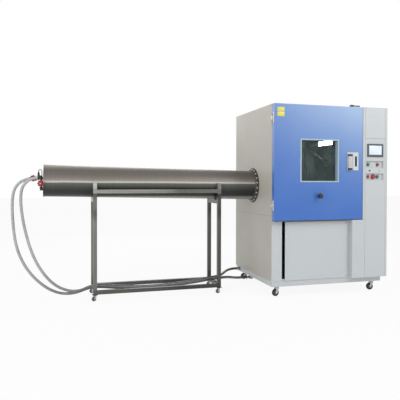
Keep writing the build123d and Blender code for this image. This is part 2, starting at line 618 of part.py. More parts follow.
def make_tube_end():
    plate = tube_hole(TUBE_R, TUBE_L, TUBE_L + 6)
    nozzles = []
    for (y, z), bore in ((NOZZLE_A, 3.15), (NOZZLE_B, 6.25)):
        plate = plate - rod((END_X - 20, y, z), (END_X + 80, y, z), 12)
        nozzle = rod((END_X - 8, y, z), (END_X + 70, y, z), 12)
        nozzles.append(nozzle - rod((END_X - 10, y, z), (END_X + 75, y, z), bore))
    nodes["nozzle_plate"] = solids(plate, *nozzles)
    ya, za = NOZZLE_A
    yb, zb = NOZZLE_B
    tail_start = END_X - 8
    valve_x = -2352.0
    pipe_a = rod((tail_start, ya, za), (valve_x + 22, ya, za), 13)
    body_a = rod((valve_x + 22, ya, za), (valve_x - 20, ya, za), 22)
    body_a = body_a + rod((valve_x, ya - 10, za), (valve_x, ya - 36, za), 15)
    body_a = body_a + hose_tail(OUTER_ROUTE[0], OUTER_ROUTE[1], 26, 13)
    body_a = body_a - rod((valve_x, ya - 20, za), (valve_x, ya - 50, za), 5 + FIT)
    zv = 1176.0
    lower = rod((tail_start, yb, zb), (VALVE_B_X, yb, zb), 12)
    lower = lower + rod((VALVE_B_X, yb, zb - 14), (VALVE_B_X, yb, zv - 18), 12)
    body_b = rod((VALVE_B_X, yb, zv - 18), (VALVE_B_X, yb, zv + 18), 16)
    body_b = body_b + rod((VALVE_B_X, yb - 8, zv), (VALVE_B_X, yb - 40, zv), 14)
    body_b = body_b - rod((VALVE_B_X, yb - 18, zv), (VALVE_B_X, yb - 45, zv), 5 + FIT)
    upper = rod((VALVE_B_X, yb, zv + 18), (VALVE_B_X, yb, 1256), 12)
    upper = upper + hose_tail(INNER_ROUTE[0], INNER_ROUTE[1], 28, 12)
    sensor_x, lead_x, lead_top = -2303, END_X - 16, za + 88
    sensor = rod((sensor_x, ya, za + 13), (sensor_x, ya, za + 50), 11)
    sensor = sensor + rod((sensor_x, ya, za + 50), (sensor_x, ya, za + 64), 8) - pipe_a
    gland = rod((lead_x, ya, za + 8), (lead_x, ya, za + 26), 6) - pipe_a
    lead_points = [(sensor_x, ya, za + 64), (sensor_x, ya, lead_top), (lead_x, ya, lead_top),
                   (lead_x, ya, za + 26)]
    lead = pipe_along(lead_points, 18, 3.5)
    nodes["valve_set"] = solids(pipe_a, body_a, lower, body_b, upper, sensor, gland, lead)
    handwheel("upper_handwheel", valve_x, ya - 22, ya - 50, za, 34)
    handwheel("lower_handwheel", VALVE_B_X, yb - 20, 392, zv, 32)


def handwheel(name, x, y_in, y_out, z, radius):
    """A lobed red wheel on a stem that comes towards the front."""
    stem = rod((x, y_in, z), (x, y_out, z), 5)
    wheel = rod((x, y_out, z), (x, y_out + 10, z), radius - 6)
    wheel = wheel - rod((x, y_out - 1, z), (x, y_out + 11, z), radius - 15)
    for step in range(8):
        turn = 2 * math.pi * step / 8
        px, pz = x + (radius - 9) * math.cos(turn), z + (radius - 9) * math.sin(turn)
        wheel = wheel + rod((px, y_out, pz), (px, y_out + 10, pz), 9)
    hub = rod((x, y_out - 3, z), (x, y_out + 12, z), 10)
    for step in range(4):
        turn = math.pi * step / 2
        px, pz = x + (radius - 12) * math.cos(turn), z + (radius - 12) * math.sin(turn)
        hub = hub + rod((x, y_out + 5, z), (px, y_out + 5, pz), 3.5)
    nodes[name] = stem + wheel + hub


def make_stand():
    half = STAND_BAR / 2
    front, rear = TUBE_Y - STAND_HALF, TUBE_Y + STAND_HALF
    x0, x1 = STAND_X
    legs = [block(x - half, x + half, y - half, y + half, STAND_Z, STAND_TOP)
            for x in STAND_X for y in (front, rear)]
    rails = []
    for z in (STAND_Z, STAND_RAIL_Z):
        rails += [block(x0 + half, x1 - half, y - half, y + half, z, z + STAND_BAR)
                  for y in (front, rear)]
    cross, saddles = [], []
    for x in STAND_X:
        under = tube_z(x) - TUBE_R
        cross.append(block(x - half, x + half, front + half, rear - half, STAND_Z, STAND_Z + STAND_BAR))
        bar_top = under - 8
        cross.append(block(x - half, x + half, front + half, rear - half, bar_top - STAND_BAR, bar_top))
        seat = block(x - half, x + half, TUBE_Y - 90, TUBE_Y + 90, bar_top, bar_top + 34)
        saddles.append(seat - tube_hole(TUBE_R, 0, TUBE_L))
    plates = [castor_plate(x, y, **STAND_CASTOR) for x, y in STAND_CASTORS.values()]
    nodes["stand_frame"] = solids(*legs, *rails, *cross, *saddles, *plates)


def make_hoses():
    for name, route in (("outer_hose", OUTER_ROUTE), ("inner_hose", INNER_ROUTE)):
        radii = corner_radii(route)
        tube = pipe_along(route, radii, HOSE_R)
        nodes[name] = tube
        length = tube.volume / (math.pi * HOSE_R ** 2)
        print(name, "radii", [round(r) for r in radii], "length", round(length))


def make_castors():
    for place, (x, y) in CAB_CASTORS.items():
        castor("cab_" + place, x, y, turn=CASTOR_TURN[place], **CAB_CASTOR)
    for place, (x, y) in STAND_CASTORS.items():
        castor("stand_" + place, x, y, turn=CASTOR_TURN[place] + 20, **STAND_CASTOR)


def write_parts():
    """Centre the object over its footprint, leaving the hoses out, and write each node."""
    firm = solids(*[part for name, part in nodes.items() if "hose" not in name])
    box = firm.bounding_box()
    shift = Vector(-(box.min.X + box.max.X) / 2, -(box.min.Y + box.max.Y) / 2, 0)
    os.makedirs("parts", exist_ok=True)
    for name, part in nodes.items():
        export_step(solids(part).moved(Pos(shift)), f"parts/{name}.step")
    print("nodes", len(nodes), "size", box.size, "shift", shift)
    return shift


make_plinth()
make_body_frame()
make_casing()
make_controls()
make_liner()
make_machinery()
make_turntable()
make_swing_pipe()
make_door()
make_hinges()
make_handle()
make_wiper()
make_tube()
make_tube_end()
make_stand()
make_hoses()
make_castors()
SHIFT = write_parts()
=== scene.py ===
"""The looks of a free-standing water-jet test chamber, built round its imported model."""
import json
import math

import bmesh
import bpy
from bpy.props import FloatProperty, FloatVectorProperty, IntProperty, PointerProperty
from mathutils import Matrix, Vector


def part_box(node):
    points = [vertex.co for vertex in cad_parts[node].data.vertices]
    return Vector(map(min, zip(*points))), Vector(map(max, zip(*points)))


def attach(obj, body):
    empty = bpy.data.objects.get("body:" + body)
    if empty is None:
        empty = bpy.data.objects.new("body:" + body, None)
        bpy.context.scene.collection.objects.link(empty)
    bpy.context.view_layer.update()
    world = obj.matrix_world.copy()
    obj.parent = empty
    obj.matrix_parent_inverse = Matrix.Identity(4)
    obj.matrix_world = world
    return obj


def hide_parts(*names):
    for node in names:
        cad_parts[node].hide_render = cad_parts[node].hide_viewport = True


bl_info = {
    "name": "Water Jet Test Chamber",
    "version": (1, 0, 0),
    "blender": (4, 5, 0),
    "location": "View3D > Sidebar > Chamber",
    "description": "Builds the finishes, fittings and hoses of a test chamber round its frame",
    "category": "Add Mesh",
}

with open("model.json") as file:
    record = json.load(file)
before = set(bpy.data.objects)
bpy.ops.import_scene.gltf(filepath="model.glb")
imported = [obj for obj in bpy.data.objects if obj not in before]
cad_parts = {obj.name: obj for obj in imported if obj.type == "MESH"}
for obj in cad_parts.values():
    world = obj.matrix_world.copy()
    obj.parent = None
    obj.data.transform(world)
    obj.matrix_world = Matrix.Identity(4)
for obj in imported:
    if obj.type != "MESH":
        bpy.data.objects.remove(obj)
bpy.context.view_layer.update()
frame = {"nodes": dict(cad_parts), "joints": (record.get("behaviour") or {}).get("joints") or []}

# The cabinet's corner: its left side, the plane of the door's front, and the floor
CORNER = Vector((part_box("left_panels")[0][0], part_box("right_panel")[0][1], 0.0))

# Sizes of the cabinet in metres from that corner
CABINET_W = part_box("right_panel")[1][0] - CORNER.x
CABINET_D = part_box("roof_panel")[1][1] - CORNER.y
ROOF_Z = 2.000
BODY_Y = 0.056
BASE_Z = 0.166
DOOR_W = 1.034
DOOR_Z = (0.797, 1.998)

# The door's fittings: the tray's right edge and its slot's sides from there, the lever's sides and ends,
# the wiper's pivot, and the blank labels
TRAY_EDGE_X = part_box("handle_tray")[1][0] - CORNER.x
SLOT_FROM_EDGE = (0.041, 0.018)
LEVER_X = tuple(corner[0] - CORNER.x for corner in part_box("handle_lever"))
LEVER_ENDS_Z = ((1.3245, 1.3448), (1.4712, 1.4915))
WIPER_X, WIPER_Z = 0.503, 1.051
LABELS_Z, LABEL_HEIGHT = (1.867, 1.916), 0.044

# The control panel: the screen's edges, the small buttons, the stop button, the sounder and the lock
SCREEN_X, SCREEN_Z = (1.087, 1.286), (1.467, 1.608)
BUTTONS_AT = ((1.111, 1.3855), (1.228, 1.3855), (1.111, 1.2535), (1.228, 1.2535))
EMERGENCY_STOP_AT = (1.172, 1.2535)
SOUNDER_X, LOCK_X, SOUNDER_Z = 1.118, 1.241, 1.319

# The test space: its right wall, the drive's ring on it, the floor's drain and the turntable's middle
LINER_RIGHT_X = 0.972
DRIVE_Y, DRIVE_Z = 0.606, 1.446
DRAIN_X, DRAIN_Y = 0.22, 0.85
TABLE_AT = (0.500, 0.583, 0.9421)

# The jet tube and its stand
TUBE_Y = 0.583
TUBE_Z = 1.158
TUBE_R = 0.160
TUBE_L = 2.250
TUBE_TILT = math.radians(1.2)
STAND_X = (-1.760, -0.458)
STAND_Y = (0.403, 0.763)
LEG_HALF = 0.019
FLANGE_R = 0.1925
FLANGE_BOLTS = 20

# The camera: its place from the corner in metres, its yaw, pitch and roll in degrees, and its lens
CAMERA_AT = (-2.06265, -4.49290, 1.20090)
CAMERA_TURN = (-15.762, 89.212, 0.109)
CAMERA_LENS = 43.2216
CAMERA_SHIFT = (0.0025, -0.0303)

# The lamps: place and target in the model's frame, size in metres and power in watts
LAMPS = {
    "key": ((3.2, -3.6, 4.2), (0.3, 0.0, 1.1), 2.6, 90),
    "fill": ((-4.4, -3.2, 2.6), (-0.2, 0.0, 1.0), 3.0, 75),
    "back": ((0.0, 4.5, 3.6), (0.0, 0.0, 1.0), 3.0, 60),
}

# The hoses' routes: the same points as the model's, in metres from the corner
OUTER_ROUTE = [
    (-2.386, 0.600, 1.226), (-2.449, 0.600, 1.209), (-2.502, 0.600, 1.169), (-2.536, 0.600, 1.112),
    (-2.551, 0.600, 1.034), (-2.554, 0.600, 0.930), (-2.548, 0.601, 0.790), (-2.534, 0.604, 0.640),
    (-2.505, 0.610, 0.500), (-2.450, 0.620, 0.365), (-2.375, 0.640, 0.245), (-2.285, 0.668, 0.145),
    (-2.195, 0.696, 0.072), (-2.100, 0.708, 0.030), (-2.010, 0.680, 0.026), (-1.930, 0.622, 0.048),
    (-1.862, 0.556, 0.088), (-1.795, 0.500, 0.120), (-1.715, 0.470, 0.128), (-1.600, 0.462, 0.116),
    (-1.400, 0.466, 0.096), (-1.160, 0.478, 0.090), (-0.900, 0.494, 0.096), (-0.670, 0.512, 0.112),
    (-0.520, 0.530, 0.128), (-0.415, 0.560, 0.130), (-0.330, 0.610, 0.124), (-0.250, 0.680, 0.108),
    (-0.170, 0.760, 0.084), (-0.090, 0.838, 0.062), (-0.005, 0.892, 0.050), (0.080, 0.915, 0.046),
]
INNER_ROUTE = [
    (-2.304, 0.520, 1.238), (-2.365, 0.520, 1.225), (-2.417, 0.521, 1.191), (-2.453, 0.524, 1.140),
    (-2.468, 0.528, 1.062), (-2.466, 0.532, 0.950), (-2.450, 0.538, 0.820), (-2.425, 0.546, 0.690),
    (-2.392, 0.556, 0.560), (-2.350, 0.570, 0.435), (-2.292, 0.592, 0.315), (-2.220, 0.622, 0.205),
    (-2.140, 0.655, 0.122), (-2.052, 0.678, 0.070), (-1.965, 0.664, 0.052), (-1.888, 0.616, 0.068),
    (-1.820, 0.562, 0.110), (-1.755, 0.524, 0.134), (-1.675, 0.508, 0.134), (-1.560, 0.508, 0.120),
    (-1.380, 0.518, 0.098), (-1.150, 0.536, 0.090), (-0.910, 0.556, 0.096), (-0.690, 0.574, 0.112),
    (-0.530, 0.592, 0.132), (-0.425, 0.622, 0.134), (-0.342, 0.690, 0.134), (-0.278, 0.790, 0.134),
    (-0.226, 0.872, 0.136), (-0.182, 0.930, 0.138), (-0.134, 0.976, 0.140), (-0.074, 1.000, 0.142),
    (-0.012, 1.000, 0.142),
]
HOSES = {
    "outer_hose": (OUTER_ROUTE, 3.866),
    "inner_hose": (INNER_ROUTE, 3.680),
}
RIB_STEPS = 4
ROUND_HOSE = 14
RIB_DEPTH = 0.045
WHOLE_RUN_TURNS = 300.0

X_AXIS, Y_AXIS, Z_AXIS = Vector((1, 0, 0)), Vector((0, 1, 0)), Vector((0, 0, 1))
SMOOTH_ANGLE = math.radians(35)


def at(x, y, z):
    """A place given from the cabinet's corner, in the model's own frame."""
    return CORNER + Vector((x, y, z))


def tube_axis(x):
    """The point of the jet tube's axis at an x, from the corner."""
    return at(x, TUBE_Y, TUBE_Z - x * math.tan(TUBE_TILT))


TUBE_WAY = Vector((-math.cos(TUBE_TILT), 0, math.sin(TUBE_TILT)))


class ChamberSizes(bpy.types.PropertyGroup):
    hose_diameter: FloatProperty(
        name="Hose diameter", description="Outer diameter of the supply hoses",
        default=0.030, unit="LENGTH")
    hose_pitch: FloatProperty(
        name="Hose rib pitch", description="Distance between turns of a hose's spiral rib",
        default=0.0125, unit="LENGTH")
    round_steps: IntProperty(
        name="Round steps", description="Facets round a small turned piece", default=32)


def colour_property(name, description, value):
    return FloatVectorProperty(
        name=name, description=description, default=value, size=3, subtype="COLOR", min=0, max=1)


class ChamberColours(bpy.types.PropertyGroup):
    front: colour_property("Front paint", "Powder paint of the front and the column", (0.60, 0.625, 0.635))
    # The sides' paint is darker and warmer than the front's; the darkness is in part painted shade for faces
    # turned away from the lamps.
    side: colour_property("Side paint", "Powder paint of sides, back and roof", (0.50, 0.475, 0.42))
    # Two ends of the door's painted light: the blue in painted shade near its foot, and in painted light near
    # its top corner.
    door_in_painted_shade: colour_property("Door, low", "Blue of the door near its foot", (0.046, 0.162, 0.540))
    door_in_painted_light: colour_property("Door, high", "Blue of the door near its top corner", (0.36, 0.50, 0.74))
    steel: colour_property("Stainless", "Brushed stainless steel", (0.30, 0.31, 0.30))
    # The tube's two halves carry painted reflections: a lighter one above its middle and a dark one below.
    tube_upper_reflection: colour_property("Tube, upper half", "Steel of the tube above its middle", (0.17, 0.15, 0.13))
    tube_lower_reflection: colour_property("Tube, lower half", "Steel of the tube below its middle", (0.055, 0.058, 0.050))
    hose: colour_property("Hose", "Clear grey plastic of the hoses", (0.50, 0.50, 0.515))
    red: colour_property("Red plastic", "Handwheels and stop buttons", (0.50, 0.03, 0.05))
    green: colour_property("Green plastic", "Start and lamp buttons", (0.02, 0.25, 0.11))
    label: colour_property("Label", "Blank yellow labels", (0.80, 0.72, 0.10))


# Meshes

def block(low, high, bevel):
    """A box between two corners, with rounded edges."""
    bm = bmesh.new()
    bmesh.ops.create_cube(bm, size=1.0)
    bmesh.ops.scale(bm, vec=high - low, verts=bm.verts)
    bmesh.ops.translate(bm, vec=(low + high) / 2, verts=bm.verts)
    bmesh.ops.bevel(
        bm, geom=bm.edges[:], offset=bevel, affect="EDGES", segments=2, profile=0.5, material=-1)
    return bm


def turned(start, way, profile, steps=32):
    """A turned shape: points (distance along the axis, radius), spun all the way round."""
    bm = bmesh.new()
    verts = [bm.verts.new((radius, 0, along)) for along, radius in profile]
    edges = [bm.edges.new(pair) for pair in zip(verts, verts[1:])]
    bmesh.ops.spin(
        bm, geom=verts + edges, cent=(0, 0, 0), axis=(0, 0, 1), angle=2 * math.pi, steps=steps,
        use_merge=True)
    bmesh.ops.remove_doubles(bm, verts=bm.verts, dist=1e-6)
    bmesh.ops.recalc_face_normals(bm, faces=bm.faces)
    turn = Vector(way).to_track_quat("Z", "Y").to_matrix().to_4x4()
    bmesh.ops.transform(bm, matrix=Matrix.Translation(Vector(start)) @ turn, verts=bm.verts)
    return bm


def disc_profile(height, radius, round_edge):
    """The profile of a round bar with rounded rims."""
    edge = min(round_edge, radius / 2, height / 2)
    return [(0, 0), (0, radius - edge), (edge * 0.3, radius - edge * 0.3), (edge, radius),
            (height - edge, radius), (height - edge * 0.3, radius - edge * 0.3),
            (height, radius - edge), (height, 0)]


def bar(start, end, radius, round_edge=0.001, steps=24):
    """A round bar between two points."""
    start, end = Vector(start), Vector(end)
    way = end - start
    return turned(start, way, disc_profile(way.length, radius, round_edge), steps)


def ring(centre, way, inner, outer, height, round_edge=0.001, steps=48):
    """A flat ring with rounded rims."""
    e = round_edge
    profile = [(0, inner), (0, outer - e), (e, outer), (height - e, outer), (height, outer - e),
               (height, inner), (0, inner)]
    return turned(centre, way, profile, steps)


def hexagon(centre, way, across, height, round_edge=0.0008, turn=0.0):
    """A bolt head or a nut."""
    bm = bmesh.new()
    radius = across / math.sqrt(3)
    bmesh.ops.create_cone(bm, cap_ends=True, segments=6, radius1=radius, radius2=radius, depth=height)
    bmesh.ops.translate(bm, vec=(0, 0, height / 2), verts=bm.verts)
    rims = [e for e in bm.edges if all(v.co.z > height / 2 for v in e.verts)]
    bmesh.ops.bevel(bm, geom=rims, offset=round_edge, affect="EDGES", segments=2, profile=0.5, material=-1)
    spin = Matrix.Rotation(turn, 4, "Z")
    track = Vector(way).to_track_quat("Z", "Y").to_matrix().to_4x4()
    bmesh.ops.transform(bm, matrix=Matrix.Translation(Vector(centre)) @ track @ spin, verts=bm.verts)
    return bm


def merged(parts):
    """One bmesh that holds several."""
    whole = bmesh.new()
    for part in parts:
        mesh = bpy.data.meshes.new("part")
        part.to_mesh(mesh)
        part.free()
        whole.from_mesh(mesh)
        bpy.data.meshes.remove(mesh)
    return whole


def finish_named(name):
    """A finish made here. The frame has plain ones of its own, some under the same first name."""
    return bpy.data.materials[name + "_finish"]


def piece(name, parts, finish, body, replaces=()):
    """A finished piece from its parts, riding on a body."""
    bm = merged(parts)
    mesh = bpy.data.meshes.new(name)
    bm.to_mesh(mesh)
    bm.free()
    mesh.polygons.foreach_set("use_smooth", [True] * len(mesh.polygons))
    mesh.set_sharp_from_angle(angle=SMOOTH_ANGLE)
    mesh.materials.append(finish_named(finish))
    made = bpy.data.objects.new(name, mesh)
    bpy.context.scene.collection.objects.link(made)
    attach(made, body)
    if replaces:
        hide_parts(*replaces)


def dress(node, finish):
    """Give a node of the model its finish."""
    made = frame["nodes"][node]
    made.data.materials.clear()
    made.data.materials.append(finish_named(finish))


# Materials

def new_finish(name, colour, roughness, metallic=0.0):
    """A material whose shader has its plain values set."""
    material = bpy.data.materials.new(name + "_finish")
    material.use_nodes = True
    shader = material.node_tree.nodes["Principled BSDF"]
    shader.inputs["Base Color"].default_value = (*colour, 1)
    shader.inputs["Roughness"].default_value = roughness
    shader.inputs["Metallic"].default_value = metallic
    material.diffuse_color = (*colour, 1)
    return material.node_tree, shader


def place_nodes(tree, scale=(1, 1, 1), location=(0, 0, 0), rotation=(0, 0, 0), kind="POINT"):
    """Object coordinates through a Mapping node."""
    coordinates = tree.nodes.new("ShaderNodeTexCoord")
    mapping = tree.nodes.new("ShaderNodeMapping")
    mapping.vector_type = kind
    mapping.inputs["Scale"].default_value = scale
    mapping.inputs["Location"].default_value = location
    mapping.inputs["Rotation"].default_value = rotation
    tree.links.new(coordinates.outputs["Object"], mapping.inputs["Vector"])
    return mapping.outputs["Vector"]


def noise_node(tree, where, scale, detail=3.0, roughness=0.55):
    texture = tree.nodes.new("ShaderNodeTexNoise")
    texture.inputs["Scale"].default_value = scale
    texture.inputs["Detail"].default_value = detail
    texture.inputs["Roughness"].default_value = roughness
    tree.links.new(where, texture.inputs["Vector"])
    return texture.outputs["Fac"]


def ramp_node(tree, factor, stops):
    """A colour ramp from (position, colour) stops."""
    ramp = tree.nodes.new("ShaderNodeValToRGB")
    elements = ramp.color_ramp.elements
    while len(elements) < len(stops):
        elements.new(0.5)
    for element, (position, colour) in zip(elements, stops):
        element.position = position
        element.color = (*colour, 1)
    tree.links.new(factor, ramp.inputs["Fac"])
    return ramp.outputs["Color"]


def maths(tree, operation, *values):
    """A Math node. Each value is a number or another node's output."""
    node = tree.nodes.new("ShaderNodeMath")
    node.operation = operation
    for socket, value in zip(node.inputs, values):
        if isinstance(value, (int, float)):
            socket.default_value = value
        else:
            tree.links.new(value, socket)
    return node.outputs["Value"]


def scaled(tree, value, factor, offset):
    """A value times a factor, plus an offset."""
    return maths(tree, "MULTIPLY_ADD", value, factor, offset)


def clamped(tree, value):
    """A value kept between 0 and 1."""
    node = tree.nodes.new("ShaderNodeClamp")
    tree.links.new(value, node.inputs["Value"])
    return node.outputs["Result"]


def split(tree, vector):
    """The X, Y and Z of a vector, by name."""
    node = tree.nodes.new("ShaderNodeSeparateXYZ")
    tree.links.new(vector, node.inputs["Vector"])
    return node.outputs


def blended(tree, factor, first, second, kind="MIX"):
    """Two colours mixed by a factor."""
    mix = tree.nodes.new("ShaderNodeMix")
    mix.data_type = "RGBA"
    mix.blend_type = kind
    for socket, value in ((mix.inputs[0], factor), (mix.inputs[6], first), (mix.inputs[7], second)):
        if isinstance(value, (int, float)):
            socket.default_value = value
        elif isinstance(value, (tuple, list)):
            socket.default_value = (*value, 1)
        else:
            tree.links.new(value, socket)
    return mix.outputs[2]


def bump(tree, shader, height, strength, distance):
    node = tree.nodes.new("ShaderNodeBump")
    node.inputs["Strength"].default_value = strength
    node.inputs["Distance"].default_value = distance
    tree.links.new(height, node.inputs["Height"])
    tree.links.new(node.outputs["Normal"], shader.inputs["Normal"])


def tone(colour, factor):
    return tuple(min(1.0, channel * factor) for channel in colour)


def powder_paint(name, colour, roughness=0.42, spread=0.06, fitting=None):
    """Powder paint with a fine orange peel and a slight unevenness. What stands on the roof may differ."""
    tree, shader = new_finish(name, colour, roughness)
    where = place_nodes(tree)
    cloud = noise_node(tree, where, 1.7, 4)
    shade = ramp_node(tree, cloud, [(0.3, tone(colour, 1 - spread)), (0.7, tone(colour, 1 + spread))])
    if fitting:
        above = maths(tree, "GREATER_THAN", split(tree, where)["Z"], ROOF_Z + 0.003)
        shade = blended(tree, above, shade, fitting)
    tree.links.new(shade, shader.inputs["Base Color"])
    peel = noise_node(tree, where, 420, 2)
    wear = noise_node(tree, where, 11, 5)
    rough = scaled(tree, wear, 0.12, roughness - 0.06)
    tree.links.new(rough, shader.inputs["Roughness"])
    bump(tree, shader, peel, 0.12, 0.0004)


def door_paint(name, low, high):
    """Satin blue with a painted highlight: it pales towards the upper right corner, where the lamps' light
    would fall, and keeps a painted shade low and to the left.
    """
    tree, shader = new_finish(name, low, 0.3)
    shader.inputs["Coat Weight"].default_value = 0.25
    shader.inputs["Coat Roughness"].default_value = 0.18
    where = place_nodes(tree, location=tuple(-at(0, 0, DOOR_Z[0])))
    spot = split(tree, where)
    rise = maths(tree, "MAXIMUM", maths(tree, "DIVIDE", spot["Z"], DOOR_Z[1] - DOOR_Z[0]), 0.0)
    across = scaled(tree, spot["X"], 0.68, 0.42)
    # Painted light: the door pales upwards and to the right, as if lit from there.
    painted_light_fall = maths(tree, "MULTIPLY", maths(tree, "POWER", rise, 1.7), across)
    uneven = scaled(tree, noise_node(tree, where, 2.4, 3), 0.16, -0.08)
    shade = blended(tree, clamped(tree, maths(tree, "ADD", painted_light_fall, uneven)), low, high)
    tree.links.new(shade, shader.inputs["Base Color"])
    bump(tree, shader, noise_node(tree, where, 380, 2), 0.08, 0.0004)


def brushed_steel(name, colour, stretch, roughness=0.34, metallic=0.85, spread=0.16):
    """Stainless steel with its grain drawn out along an axis."""
    tree, shader = new_finish(name, colour, roughness, metallic)
    grain = noise_node(tree, place_nodes(tree, scale=stretch), 1.0, 6, 0.7)
    cloud = noise_node(tree, place_nodes(tree), 2.2, 3)
    shade = ramp_node(tree, grain, [(0.32, tone(colour, 1 - spread)), (0.68, tone(colour, 1 + spread))])
    smear = ramp_node(tree, cloud, [(0.35, (0.85, 0.85, 0.84)), (0.65, (1, 1, 1))])
    tree.links.new(blended(tree, 1.0, shade, smear, "MULTIPLY"), shader.inputs["Base Color"])
    rough = scaled(tree, grain, 0.22, roughness - 0.11)
    tree.links.new(rough, shader.inputs["Roughness"])
    bump(tree, shader, grain, 0.10, 0.0006)


def wet_steel(name, colour):
    """Polished steel of the test space, clouded where water has dried, with a pale patch of light."""
    tree, shader = new_finish(name, colour, 0.38, 0.12)
    where = place_nodes(tree)
    cloud = noise_node(tree, where, 5.5, 5, 0.62)
    shade = ramp_node(tree, cloud, [(0.30, tone(colour, 0.55)), (0.52, colour), (0.72, tone(colour, 1.8))])
    patch = tree.nodes.new("ShaderNodeTexGradient")
    patch.gradient_type = "SPHERICAL"
    middle, lean = at(0.985, 1.010, 1.385), (math.radians(-20), 0, 0)
    tree.links.new(place_nodes(tree, (0.14, 0.12, 0.20), middle, lean, "TEXTURE"), patch.inputs["Vector"])
    edge = noise_node(tree, where, 14, 4)
    spread = maths(tree, "MULTIPLY", patch.outputs["Fac"], maths(tree, "MULTIPLY", edge, 3.4))
    lit = blended(tree, clamped(tree, spread), shade, (0.72, 0.84, 0.72))
    tree.links.new(lit, shader.inputs["Base Color"])
    tree.links.new(scaled(tree, cloud, 0.3, 0.22), shader.inputs["Roughness"])
    bump(tree, shader, noise_node(tree, place_nodes(tree, scale=(3, 3, 60)), 1.0, 4), 0.08, 0.0005)


def tube_steel(name, high, low):
    """Rolled stainless: grain round the tube, with painted reflections round it: a dark lower half, a lighter
    upper half, pale rims at both edges, and a thin painted highlight line that crosses its middle.
    """
    tree, shader = new_finish(name, high, 0.42, 0.25)
    level = place_nodes(tree, location=at(0, TUBE_Y, TUBE_Z), rotation=(0, TUBE_TILT, 0), kind="TEXTURE")
    spot = split(tree, level)
    height = scaled(tree, spot["Z"], 0.5 / TUBE_R, 0.5)
    height = maths(tree, "ADD", height, scaled(tree, spot["X"], -0.046, -0.087))
    ripple = noise_node(tree, place_nodes(tree, scale=(2.2, 0.5, 0.5)), 1.0, 3)
    wavy = maths(tree, "ADD", height, scaled(tree, ripple, 0.034, -0.017))
    # Painted reflections: the pale rim, the grey raised to a painted highlight line at the middle, and the
    # halves' tones stand in for what the steel would mirror.
    edge = (0.34, 0.34, 0.33)
    grey = (0.165, 0.160, 0.148)
    reflection_levels = [
        (0.000, edge, 1.0), (0.045, low, 0.9), (0.10, low, 0.45), (0.22, low, 0.55), (0.32, low, 1.2),
        (0.41, low, 2.1), (0.452, grey, 1.0), (0.475, grey, 3.9), (0.500, grey, 3.9), (0.525, high, 2.1),
        (0.60, high, 1.35), (0.70, high, 0.95), (0.84, high, 0.84), (0.90, high, 1.1), (0.955, high, 1.9),
        (1.00, high, 2.4)]
    painted_reflection_bands = ramp_node(tree, wavy, [(place, tone(colour, amount)) for place, colour, amount in reflection_levels])
    grain = noise_node(tree, place_nodes(tree, scale=(260, 1.5, 1.5)), 1.0, 5, 0.65)
    streak = ramp_node(tree, grain, [(0.3, (0.76, 0.755, 0.75)), (0.7, (1.0, 1.0, 1.0))])
    tree.links.new(blended(tree, 1.0, painted_reflection_bands, streak, "MULTIPLY"), shader.inputs["Base Color"])
    bump(tree, shader, grain, 0.10, 0.0005)


def stand_steel(name, colour, rise, along):
    """Polished tube with painted reflections in bands up its height, and painted shade that deepens along its
    length towards the cabinet, from the corner's own zero.
    """
    tree, shader = new_finish(name, colour, 0.28, 0.35)
    spot = split(tree, place_nodes(tree, location=tuple(-CORNER)))
    wavy = scaled(tree, noise_node(tree, place_nodes(tree, scale=(2, 2, 3)), 1.0, 3), 0.06, -0.03)
    height = maths(tree, "ADD", maths(tree, "DIVIDE", spot["Z"], 1.25), wavy)
    length = scaled(tree, spot["X"], 0.5, 1.0)
    # Painted reflections up the legs' height, and painted shade along the stand's length, darker nearer the
    # cabinet.
    painted_reflection_bands = ramp_node(tree, height, [(place, tone(colour, amount)) for place, amount in rise])
    reach = ramp_node(tree, length, [(place, (amount, amount, amount)) for place, amount in along])
    shade = blended(tree, 1.0, painted_reflection_bands, reach, "MULTIPLY")
    scratch = noise_node(tree, place_nodes(tree, scale=(90, 90, 4)), 1.0, 4)
    streak = ramp_node(tree, scratch, [(0.3, (0.8, 0.8, 0.79)), (0.7, (1, 1, 1))])
    tree.links.new(blended(tree, 1.0, shade, streak, "MULTIPLY"), shader.inputs["Base Color"])
    bump(tree, shader, scratch, 0.06, 0.0004)


def moulded(name, colour, roughness=0.4, grain=600, spread=0.10, coat=0.0):
    """Moulded plastic or rubber with a fine grain."""
    tree, shader = new_finish(name, colour, roughness)
    shader.inputs["Coat Weight"].default_value = coat
    where = place_nodes(tree)
    cloud = noise_node(tree, where, 26, 4)
    shade = ramp_node(tree, cloud, [(0.3, tone(colour, 1 - spread)), (0.7, tone(colour, 1 + spread))])
    tree.links.new(shade, shader.inputs["Base Color"])
    bump(tree, shader, noise_node(tree, where, grain, 2), 0.15, 0.0003)


def clear_glass(name):
    """Window glass: clear, faintly green, with a film of dried water."""
    tree, shader = new_finish(name, (0.10, 0.14, 0.13), 0.04)
    shader.inputs["Alpha"].default_value = 0.18
    shader.inputs["Specular IOR Level"].default_value = 0.3
    where = place_nodes(tree, scale=(3, 1, 1.2))
    film = noise_node(tree, where, 3.0, 4)
    tree.links.new(maths(tree, "MULTIPLY", film, 0.10), shader.inputs["Roughness"])
    shade = ramp_node(tree, film, [(0.35, (0.07, 0.10, 0.095)), (0.70, (0.16, 0.21, 0.20))])
    tree.links.new(shade, shader.inputs["Base Color"])


def glowing(name, colour, strength):
    """A lamp's or a screen's lit face."""
    tree, shader = new_finish(name, colour, 0.3)
    shader.inputs["Emission Color"].default_value = (*colour, 1)
    shader.inputs["Emission Strength"].default_value = strength
    where = place_nodes(tree)
    cloud = noise_node(tree, where, 9.0, 2)
    shade = ramp_node(tree, cloud, [(0.3, tone(colour, 0.9)), (0.7, colour)])
    tree.links.new(shade, shader.inputs["Base Color"])
    tree.links.new(shade, shader.inputs["Emission Color"])


